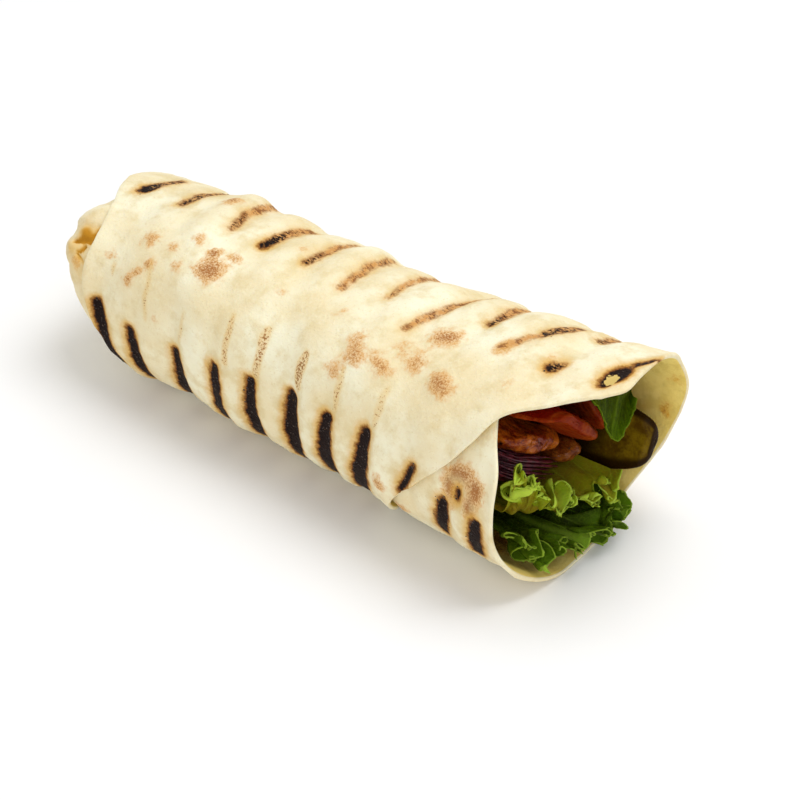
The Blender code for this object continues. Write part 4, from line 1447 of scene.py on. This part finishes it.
@dataclass
class OnionBundle:
    """Bundle of red onion strands that bow across the mouth over their core."""

    core: LongFilling
    line: CavityLine = CavityLine(((-0.80, 0.44), (-0.53, 0.12), (-0.18, -0.13), (0.22, -0.40)))
    strands: int = 38
    spread: float = 0.22
    depth: float = 9.0
    front: float = 208.5
    steps: int = 24
    width: float = 0.95
    flatness: float = 0.5

    def build(self, former: Former, material: bpy.types.Material) -> bpy.types.Object:
        """Build the strands and join them to the core."""
        lines, edges, girths = [], [], []
        for index in range(self.strands):
            first = len(lines) * self.steps
            lines.append(self.strand_line(index))
            edges += [(first + step, first + step + 1) for step in range(self.steps - 1)]
            girths += [0.75 + 0.45 * math.sin(3.1 * index)] * self.steps
        mesh = bpy.data.meshes.new("onion_lines")
        mesh.from_pydata(ROLL.placed(np.concatenate(lines)).tolist(), edges, [])
        layer = mesh.attributes.new("girth", "FLOAT", "POINT")
        layer.data.foreach_set("value", np.array(girths, np.float32))
        strands = bpy.data.objects.new("onion_strands", mesh)
        bpy.context.scene.collection.objects.link(strands)
        former.apply(strands, {"Width": self.width * MM, "Flatness": self.flatness, "Material": material})
        return joined("onion_bundle", [self.core.build(material), strands])

    def strand_line(self, index: int) -> np.ndarray:
        """Points of one strand: it follows the bundle's line, set off, bowed and cut short at its ends."""
        turn = 2.4 * index
        layer = (index * 0.618) % 1.0
        first = -0.02 + 0.16 * (0.5 + 0.5 * math.sin(1.7 * index))
        last = 1.0 - 0.22 * (0.5 + 0.5 * math.sin(2.9 * index + 1.0))
        part = np.linspace(first, last, self.steps)
        place, direction = self.line.at(part)
        side = np.stack([-direction[:, 1], direction[:, 0]], axis=-1)
        shift = self.spread * (index / (self.strands - 1) - 0.6)
        bow = 0.022 * np.sin(math.pi * part * 1.6 + turn)
        spot = place + side * (shift + bow)[:, None]
        along = self.front - self.depth * layer ** 1.4 - 2.4 * (2.0 * part - 1.0) ** 2 + 0.9 * np.sin(4.0 * part + turn)
        return ROLL.cavity(along, spot[:, 0], spot[:, 1])


def joined(name: str, pieces: Sequence[bpy.types.Object]) -> bpy.types.Object:
    """Join several meshes into one object.

    Args:
        name: Name of the joined piece.
        pieces: Objects, which are removed.

    Returns:
        The joined object.
    """
    bm = bmesh.new()
    for piece in pieces:
        bm.from_mesh(piece.data)
    mesh = bpy.data.meshes.new(name)
    bm.to_mesh(mesh)
    bm.free()
    mesh.materials.append(pieces[0].data.materials[0])
    mesh.shade_smooth()
    for piece in pieces:
        bpy.data.objects.remove(piece, do_unlink=True)
    made = bpy.data.objects.new(name, mesh)
    bpy.context.scene.collection.objects.link(made)
    return made


# Leaves


@dataclass
class Leaf:
    """Thin leaf that lies along the cavity, bends to its edge at the mouth and frills there."""

    piece: str
    node: str
    slot: str
    start: float
    line: CavityLine
    edge: Rows
    ruffle: float
    waves: float
    tooth: float
    bend_start: float
    wall: float = 0.3
    height: float = 0.4
    loop: float = 0.0
    lobe: float = 0.0
    loops: float = 2.5
    columns: int = 400
    rows: int = 84
    crowding: float = 3.2
    deep_ruffle: float = 0.35
    vein_count: float = 9.0
    rim_highlight_width: float = 0.7
    crinkle: float = 0.9
    seed: float = 0.0

    def surface(self) -> tuple[np.ndarray, np.ndarray, np.ndarray, np.ndarray]:
        """Points, parts across, part along and bend of the leaf."""
        across = np.linspace(0.0, 1.0, self.columns)[:, None]
        along_part = np.linspace(0.0, 1.0, self.rows)[None, :]
        reach = 1.0 - (1.0 - along_part) ** self.crowding
        bend = smooth_step(self.bend_start, 1.0, reach)
        place, direction = self.line.at(across)
        edge_place = np.stack([curve_value(self.edge, across, 2), curve_value(self.edge, across, 3)], axis=-1)
        wave = np.sin(math.tau * self.waves * across)
        tooth = self.tooth * np.cos(2.0 * math.tau * self.waves * across)
        side = np.stack([-direction[..., 1], direction[..., 0]], axis=-1)
        waviness = self.ruffle * wave * (self.deep_ruffle + (1.0 - self.deep_ruffle) * bend)
        spot = place * (1.0 - bend[..., None]) + edge_place * bend[..., None] + side * waviness[..., None]
        along = self.start + (curve_value(self.edge, across, 1) - self.start) * reach + tooth * bend ** 2
        points = ROLL.cavity(along, spot[..., 0], spot[..., 1])
        return points, np.broadcast_to(across, along.shape), np.broadcast_to(along_part, along.shape), bend

    def veins(self, across: np.ndarray, reach: np.ndarray) -> np.ndarray:
        """Pale ribs that fan out towards the edge."""
        fan = self.vein_count * (across - 0.5) * (0.55 + 0.45 * reach) + 0.35 * np.sin(6.0 * reach + 3.0 * across)
        away = np.abs((fan + 0.5) % 1.0 - 0.5)
        side_ribs = np.exp(-(away / 0.035) ** 2) * 0.7
        rib = np.exp(-((across - 0.5) / 0.018) ** 2)
        return np.maximum(side_ribs, rib)

    def build(self, former: Former, material: bpy.types.Material) -> bpy.types.Object:
        """Build the open sheet, frill it and give it its wall."""
        points, across, part, bend = self.surface()
        crinkle = 0.25 * soft_noise(points, 3.5, self.seed) + self.crinkle * soft_noise(points, 8.0, self.seed + 4.0)
        points = points + grid_normals(points) * crinkle[..., None]
        bend = np.broadcast_to(bend, across.shape)
        steps = np.linalg.norm(np.diff(points, axis=1), axis=-1)
        away = np.concatenate([np.cumsum(steps[:, ::-1], axis=1)[:, ::-1], np.zeros((self.columns, 1))], axis=1)
        # Painted highlight along the leaf's rim, fading inwards over its width.
        rim = 1.0 - away / self.rim_highlight_width
        fields = {"across": across, "frill": bend, "vein": self.veins(across, part), "rim": np.clip(rim, 0.0, 1.0)}
        columns, rows = across.shape
        piece = new_mesh(self.piece, points.reshape(-1, 3), grid_faces(columns, rows, 0, False).tolist(),
                         [material], None, fields)
        ways = {"edge_way": unit(np.gradient(points, axis=0)), "ahead_way": unit(np.gradient(points, axis=1))}
        for label, way in ways.items():
            layer = piece.data.attributes.new(label, "FLOAT_VECTOR", "POINT")
            layer.data.foreach_set("vector", way.astype(np.float32).ravel())
        return former.apply(piece, {"Height": self.height * MM, "Loop": self.loop * MM, "Lobe": self.lobe * MM,
                                    "Waves": self.loops, "Seed": self.seed, "Material": material}, self.wall)


# Stage


@dataclass
class Stage:
    """Pale floor, soft studio lights and the camera."""

    azimuth: float = 40.23
    elevation: float = 36.4
    distance: float = 1.4
    lens: float = 171.5
    target: Colour = (-0.0029, 0.0287, 0.0)
    floor_half_size: float = 4.0
    key_power: float = 13.5
    front_power: float = 5.0
    surroundings: float = 0.6

    def build_floor(self) -> bpy.types.Object:
        """Flat floor, a grid of squares."""
        bm = bmesh.new()
        bmesh.ops.create_grid(bm, x_segments=24, y_segments=24, size=self.floor_half_size)
        mesh = bpy.data.meshes.new("floor")
        bm.to_mesh(mesh)
        bm.free()
        mesh.materials.append(FloorFinish().make())
        floor = bpy.data.objects.new("floor", mesh)
        bpy.context.scene.collection.objects.link(floor)
        return floor

    def build_light(self, name: str, place: Colour, size: float, power: float) -> bpy.types.Object:
        """Square soft light aimed at the wrap."""
        data = bpy.data.lights.new(name, "AREA")
        data.size = size
        data.energy = power
        light = bpy.data.objects.new(name, data)
        light.location = place
        light.rotation_euler = (-Vector(place)).to_track_quat("-Z", "Y").to_euler()
        bpy.context.scene.collection.objects.link(light)
        return light

    def build_camera(self) -> bpy.types.Object:
        """Camera that looks into the mouth from the flap side."""
        azimuth, elevation = math.radians(self.azimuth), math.radians(self.elevation)
        back = Vector((math.sin(azimuth) * math.cos(elevation), -math.cos(azimuth) * math.cos(elevation),
                       math.sin(elevation)))
        camera = bpy.data.objects.new("camera", bpy.data.cameras.new("camera"))
        camera.data.lens = self.lens
        camera.data.sensor_width = 36.0
        camera.data.clip_end = 50.0
        camera.location = Vector(self.target) + back * self.distance
        camera.rotation_euler = (-back).to_track_quat("-Z", "Y").to_euler()
        bpy.context.scene.collection.objects.link(camera)
        bpy.context.scene.camera = camera
        return camera

    def build(self) -> None:
        """Build floor, lights, surroundings and camera."""
        self.build_floor()
        self.build_light("key_light", (0.25, 0.4, 1.5), 1.0, self.key_power)
        self.build_light("front_light", (0.9, -1.2, 0.8), 1.2, self.front_power)
        world = bpy.data.worlds.new("studio")
        world.use_nodes = True
        world.node_tree.nodes["Background"].inputs["Color"].default_value = (1.0, 1.0, 1.0, 1.0)
        world.node_tree.nodes["Background"].inputs["Strength"].default_value = self.surroundings
        bpy.context.scene.world = world
        bpy.context.scene.view_settings.view_transform = "Standard"
        self.build_camera()


# The whole wrap


@dataclass
class Wrap:
    """Flatbread and fillings."""

    bread: Flatbread = field(default_factory=Flatbread)
    flakes: Former = field(default_factory=flake_former)

    def settle(self, piece: bpy.types.Object, node: str) -> None:
        """Let a piece stand for its node and ride on the body."""
        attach(piece, BODY)
        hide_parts(node)
        log.info("%s: %d faces, for %s", piece.name, len(piece.data.polygons), node)

    def scatter(self, name: str, ground: bpy.types.Object, finish: CrumbFinish, density: float,
                size: float) -> None:
        """Scatter crumbs over a piece and let them ride on the body.

        Args:
            name: Name of the crumbs.
            ground: Piece that carries the field of where they lie.
            finish: Look of the crumbs.
            density: Crumbs on a square metre.
            size: Half size of a crumb in millimetres.
        """
        crumbs = bpy.data.objects.new(name, ground.data.copy())
        bpy.context.scene.collection.objects.link(crumbs)
        self.flakes.apply(crumbs, {"Density": density, "Size": size * MM, "Seed": 7, "Material": finish.make()})
        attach(crumbs, BODY)
        log.info("%s: %d faces", crumbs.name, len(crumbs.data.polygons))

    def long_fillings(self) -> list[tuple[LongFilling, bpy.types.Material]]:
        """Chicken, tomato and gherkin with their finishes."""
        dark_glaze = ChickenFinish("chicken_dark_glaze", (0.52, 0.125, 0.008), (0.18, 0.018, 0.003)).make()
        light_glaze = ChickenFinish("chicken_light_glaze", (0.35, 0.10, 0.010), (0.16, 0.028, 0.004)).make()
        tomato = TomatoFinish().make()
        return [
            (ChickenStrip("chicken_large", "chicken_front", "chicken", 211.0,
                          CavityLine(((-0.68, 0.52), (0.18, -0.06))), 0.155), dark_glaze),
            (ChickenStrip("chicken_small", "chicken_back", "chicken", 209.0,
                          CavityLine(((0.16, -0.32), (0.48, -0.22))), 0.11), light_glaze),
            (LongFilling("tomato_arch", "tomato_front", "tomato", 224.0,
                         CavityLine(((-0.56, 0.76), (-0.30, 0.70), (-0.02, 0.41), (0.41, -0.08))), 0.085,
                         roundness=0.5, widening=0.4), tomato),
            (LongFilling("tomato_far", "tomato_back", "tomato", 216.0,
                         CavityLine(((0.16, 0.70), (0.32, 0.40), (0.50, 0.08), (0.64, -0.20))), 0.05,
                         roundness=0.5), tomato),
            (GherkinStrip("gherkin_slice", "gherkin", "gherkin", 228.0,
                          CavityLine(((0.83, 0.08), (0.83, -0.25), (0.63, -0.59))), 0.095), GherkinFinish().make()),
        ]

    def leaves(self) -> list[tuple[Leaf, bpy.types.Material]]:
        """Frilly lettuce and the smooth leaf with their finishes."""
        upper = LeafFinish("lettuce_yellow_green", (0.23, 0.17, 0.010), (0.24, 0.24, 0.007), (0.20, 0.30, 0.007),
                           (0.50, 0.70, 0.07)).make()
        lower = LeafFinish("lettuce_deep_green", (0.020, 0.032, 0.001), (0.042, 0.074, 0.002), (0.08, 0.155, 0.005),
                           (0.29, 0.44, 0.04)).make()
        smooth = LeafFinish("salad_leaf_green", (0.028, 0.044, 0.001), (0.048, 0.080, 0.001), (0.07, 0.13, 0.003),
                            (0.15, 0.24, 0.012), 0.32).make()
        return [
            (Leaf("lettuce_high", "lettuce_upper", "lettuce", 40.0,
                  CavityLine(((-0.74, -0.27), (-0.42, -0.47), (0.0, -0.56), (0.50, -0.45))),
                  ((0.0, 218.0, -0.80, 0.28), (0.3, 219.0, -0.48, -0.06), (0.5, 220.5, -0.18, -0.38),
                   (0.75, 223.0, 0.18, -0.58), (0.9, 225.0, 0.36, -0.58), (1.0, 225.0, 0.44, -0.42)),
                  0.08, 5.0, 1.6, 0.957, height=2.9, loop=2.2, lobe=3.4, loops=8.0, seed=1.0), upper),
            (Leaf("lettuce_low", "lettuce_lower", "lettuce", 36.0,
                  CavityLine(((-0.74, -0.52), (-0.40, -0.74), (0.0, -0.82), (0.38, -0.79))),
                  ((0.0, 219.0, -0.78, -0.50), (0.25, 224.0, -0.50, -0.76), (0.5, 228.5, -0.05, -0.88),
                   (0.75, 229.5, 0.30, -0.84), (0.92, 227.0, 0.50, -0.78), (1.0, 214.0, 0.56, -0.68)),
                  0.075, 6.0, 2.4, 0.90, height=3.0, loop=2.4, lobe=3.0, loops=8.0, seed=2.0), lower),
            (Leaf("salad_leaf_smooth", "salad_leaf", "salad_leaf", 130.0,
                  CavityLine(((0.35, 0.88), (0.66, 0.66), (0.90, 0.28))),
                  ((0.0, 224.0, 0.04, 0.74), (0.3, 227.0, 0.12, 0.45), (0.55, 231.0, 0.22, 0.22),
                   (0.8, 228.5, 0.45, 0.28), (1.0, 226.0, 0.62, 0.38)),
                  0.02, 1.5, 0.0, 0.86, columns=160, crinkle=0.3, seed=3.0, vein_count=5.0), smooth),
        ]

    def build(self) -> None:
        """Build every piece in order."""
        bread = self.bread.build()
        self.settle(bread, "flatbread")
        char = CrumbFinish("char_crumb", (0.010, 0.006, 0.005), (0.09, 0.055, 0.035))
        self.scatter("char_crumbs", bread, char, 200000.0, 0.4)
        pepper = CrumbFinish("pepper_speck", (0.012, 0.005, 0.003), (0.10, 0.05, 0.02))
        for filling, material in self.long_fillings():
            piece = filling.build(material)
            self.settle(piece, filling.node)
            if isinstance(filling, ChickenStrip):
                self.scatter(filling.piece + "_specks", piece, pepper, 150000.0, 0.3)
        core = LongFilling("onion_core", "red_onion", "red_onion", 206.0,
                           CavityLine(((-0.80, 0.28), (-0.60, 0.0), (-0.28, -0.20), (0.02, -0.36))), 0.075,
                           sides=40, rings=60)
        self.settle(OnionBundle(core).build(strand_former(), OnionFinish().make()), "red_onion")
        frill = frill_former()
        for leaf, material in self.leaves():
            self.settle(leaf.build(frill, material), leaf.node)


def main() -> None:
    """Build the wrap and the stage."""
    Wrap().build()
    Stage().build()


if __name__ == "__main__":
    main()
